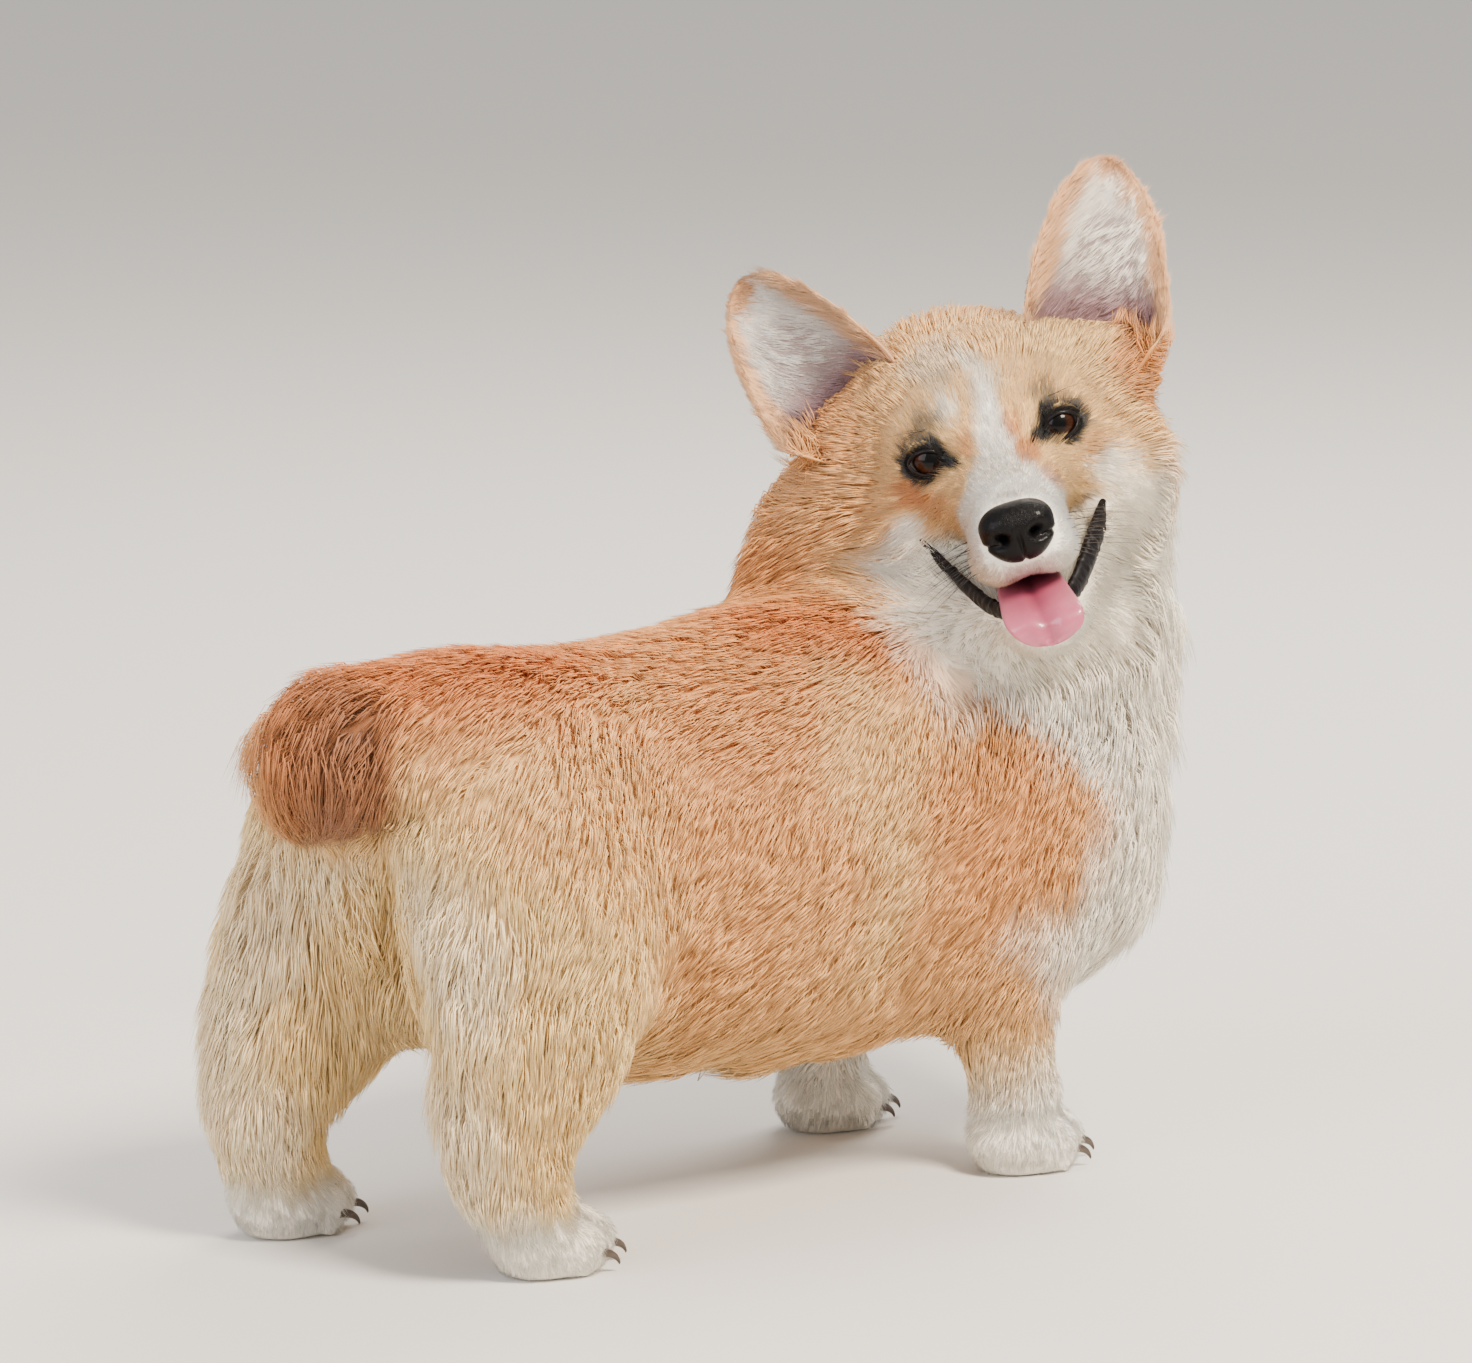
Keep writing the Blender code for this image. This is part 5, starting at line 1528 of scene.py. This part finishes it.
def make_stage():
    bpy.ops.mesh.primitive_plane_add(size=12.0, location=(0, 0, 0))
    floor = bpy.context.active_object
    floor.name = "studio_floor"
    floor.data.materials.append(studio_floor())
    world = bpy.data.worlds.new("studio_air")
    world.use_nodes = True
    world.node_tree.nodes["Background"].inputs[0].default_value = (1.0, 0.975, 0.94, 1.0)
    world.node_tree.nodes["Background"].inputs[1].default_value = 0.72
    bpy.context.scene.world = world
    right, up, back = camera_axes()
    lights = {
        "key": (back * 2.0 + right * 1.5 + Vector((0, 0, 2.6)), 330, 1.1, "#fff1de"),
        "fill": (back * 2.4 - right * 2.2 + Vector((0, 0, 1.2)), 85, 2.2, "#f8f8ff"),
        "rear": (-back * 1.8 + right * 0.6 + Vector((0, 0, 2.4)), 80, 1.6, "#fff6ec"),
    }
    for name, (place, power, size, colour) in lights.items():
        light = bpy.data.lights.new(name, "AREA")
        light.energy = power
        light.size = size
        light.color = linear(colour)
        lamp = bpy.data.objects.new(name, light)
        bpy.context.scene.collection.objects.link(lamp)
        lamp.location = place
        lamp.rotation_euler = (Vector((0, 0, 0.2)) - place).to_track_quat("-Z", "Y").to_euler()
    camera = bpy.data.objects.new("camera", bpy.data.cameras.new("camera"))
    bpy.context.scene.collection.objects.link(camera)
    look = right * LOOK_RIGHT + up * LOOK_UP + MOVE
    camera.location = look + back * CAMERA_REACH
    camera.rotation_euler = (-back).to_track_quat("-Z", "Y").to_euler()
    camera.data.sensor_width = 36.0
    camera.data.lens = PIXELS_PER_METRE * CAMERA_REACH * 36.0 / PHOTO_WIDTH
    bpy.context.scene.camera = camera


# ---------------------------------------------------------------- add-on


class CorgiSizes(bpy.types.PropertyGroup):
    skin_voxel: bpy.props.FloatProperty(
        name="Skin voxel", description="Fineness of the skin", default=0.0033, min=0.003, max=0.006, unit="LENGTH"
    )
    coat_density: bpy.props.FloatProperty(
        name="Coat density", description="Number of tufts against the model's own", default=1.0, min=0.2, max=1.05
    )
    coat_length: bpy.props.FloatProperty(
        name="Coat length", description="Length of the tufts against the dog's own", default=1.0, min=0.5, max=1.3
    )


def tint(name, where):
    return bpy.props.FloatVectorProperty(
        name=name.capitalize(), description=where, default=TINTS[name], size=3, min=0.0, max=1.0, subtype="COLOR"
    )


class CorgiTints(bpy.types.PropertyGroup):
    red: tint("red", "Hair of the croup, collar and tail")
    orange: tint("orange", "Hair of the back, flanks and neck")
    rust: tint("rust", "Hair of the shoulders and under the eyes")
    apricot: tint("apricot", "Hair of the hips and lower flanks")
    cream: tint("cream", "Hair of the haunches and the forehead")
    white: tint("white", "Hair of the muzzle, blaze, bib and feet")
    brown: tint("brown", "Hair of the tail's parting and the ears' tips")
    ash: tint("ash", "Hair of the brow")
    grey: tint("grey", "Hair of the muzzle's spots and in the ears")
    black: tint("black", "Hair round the eyes and lips")
    pink: tint("pink", "Skin deep in the ears")
    mouth: tint("mouth", "Skin inside the mouth")


def use_tints(tints):
    TINTS.update({name: np.array(getattr(tints, name)) for name in TINTS})


class CORGI_OT_skin(bpy.types.Operator):
    """Makes the one skin from the nodes of flesh"""

    bl_idname = "corgi.skin"
    bl_label = "Skin"

    def execute(self, context):
        use_tints(context.scene.corgi_tints)
        skin = make_skin(context.scene.corgi_sizes)
        colour_skin(skin)
        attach(skin, "root")
        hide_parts(*FLESH)
        return {"FINISHED"}


class CORGI_OT_coat(bpy.types.Operator):
    """Grows the coat and whiskers on the skin"""

    bl_idname = "corgi.coat"
    bl_label = "Coat"

    def execute(self, context):
        use_tints(context.scene.corgi_tints)
        field = SkinField(bpy.data.objects["skin"])
        field.sizes[:, LENGTH] *= context.scene.corgi_sizes.coat_length
        make_coat(field, context.scene.corgi_sizes)
        make_whiskers(field)
        return {"FINISHED"}


class CORGI_OT_face(bpy.types.Operator):
    """Makes eyes, lid rims, nose leather, lips and tongue"""

    bl_idname = "corgi.face"
    bl_label = "Face"

    def execute(self, context):
        for side in (1, -1):
            make_eye(side)
            make_lid_rim(side)
        make_nose()
        make_tongue()
        for name, stations in LIPS.items():
            make_lip(name, stations)
        return {"FINISHED"}


class CORGI_OT_claws(bpy.types.Operator):
    """Makes the claws"""

    bl_idname = "corgi.claws"
    bl_label = "Claws"

    def execute(self, context):
        make_claws()
        return {"FINISHED"}


class CORGI_OT_stage(bpy.types.Operator):
    """Sets the floor, lights and camera"""

    bl_idname = "corgi.stage"
    bl_label = "Stage"

    def execute(self, context):
        make_stage()
        return {"FINISHED"}


OPERATORS = (CORGI_OT_stage, CORGI_OT_skin, CORGI_OT_face, CORGI_OT_claws, CORGI_OT_coat)


class CORGI_PT_panel(bpy.types.Panel):
    bl_label = "Pembroke welsh corgi"
    bl_space_type = "VIEW_3D"
    bl_region_type = "UI"
    bl_category = "Corgi"

    def draw(self, context):
        for group in (context.scene.corgi_sizes, context.scene.corgi_tints):
            for name in group.__annotations__:
                self.layout.prop(group, name)
        for operator in OPERATORS:
            self.layout.operator(operator.bl_idname)


def register():
    for item in (CorgiSizes, CorgiTints, *OPERATORS, CORGI_PT_panel):
        bpy.utils.register_class(item)
    bpy.types.Scene.corgi_sizes = bpy.props.PointerProperty(type=CorgiSizes)
    bpy.types.Scene.corgi_tints = bpy.props.PointerProperty(type=CorgiTints)


def unregister():
    del bpy.types.Scene.corgi_sizes, bpy.types.Scene.corgi_tints
    for item in (CORGI_PT_panel, *reversed(OPERATORS), CorgiTints, CorgiSizes):
        bpy.utils.unregister_class(item)


def main():
    register()
    for operator in ("stage", "skin", "face", "claws", "coat"):
        getattr(bpy.ops.corgi, operator)()


if __name__ == "__main__":
    main()
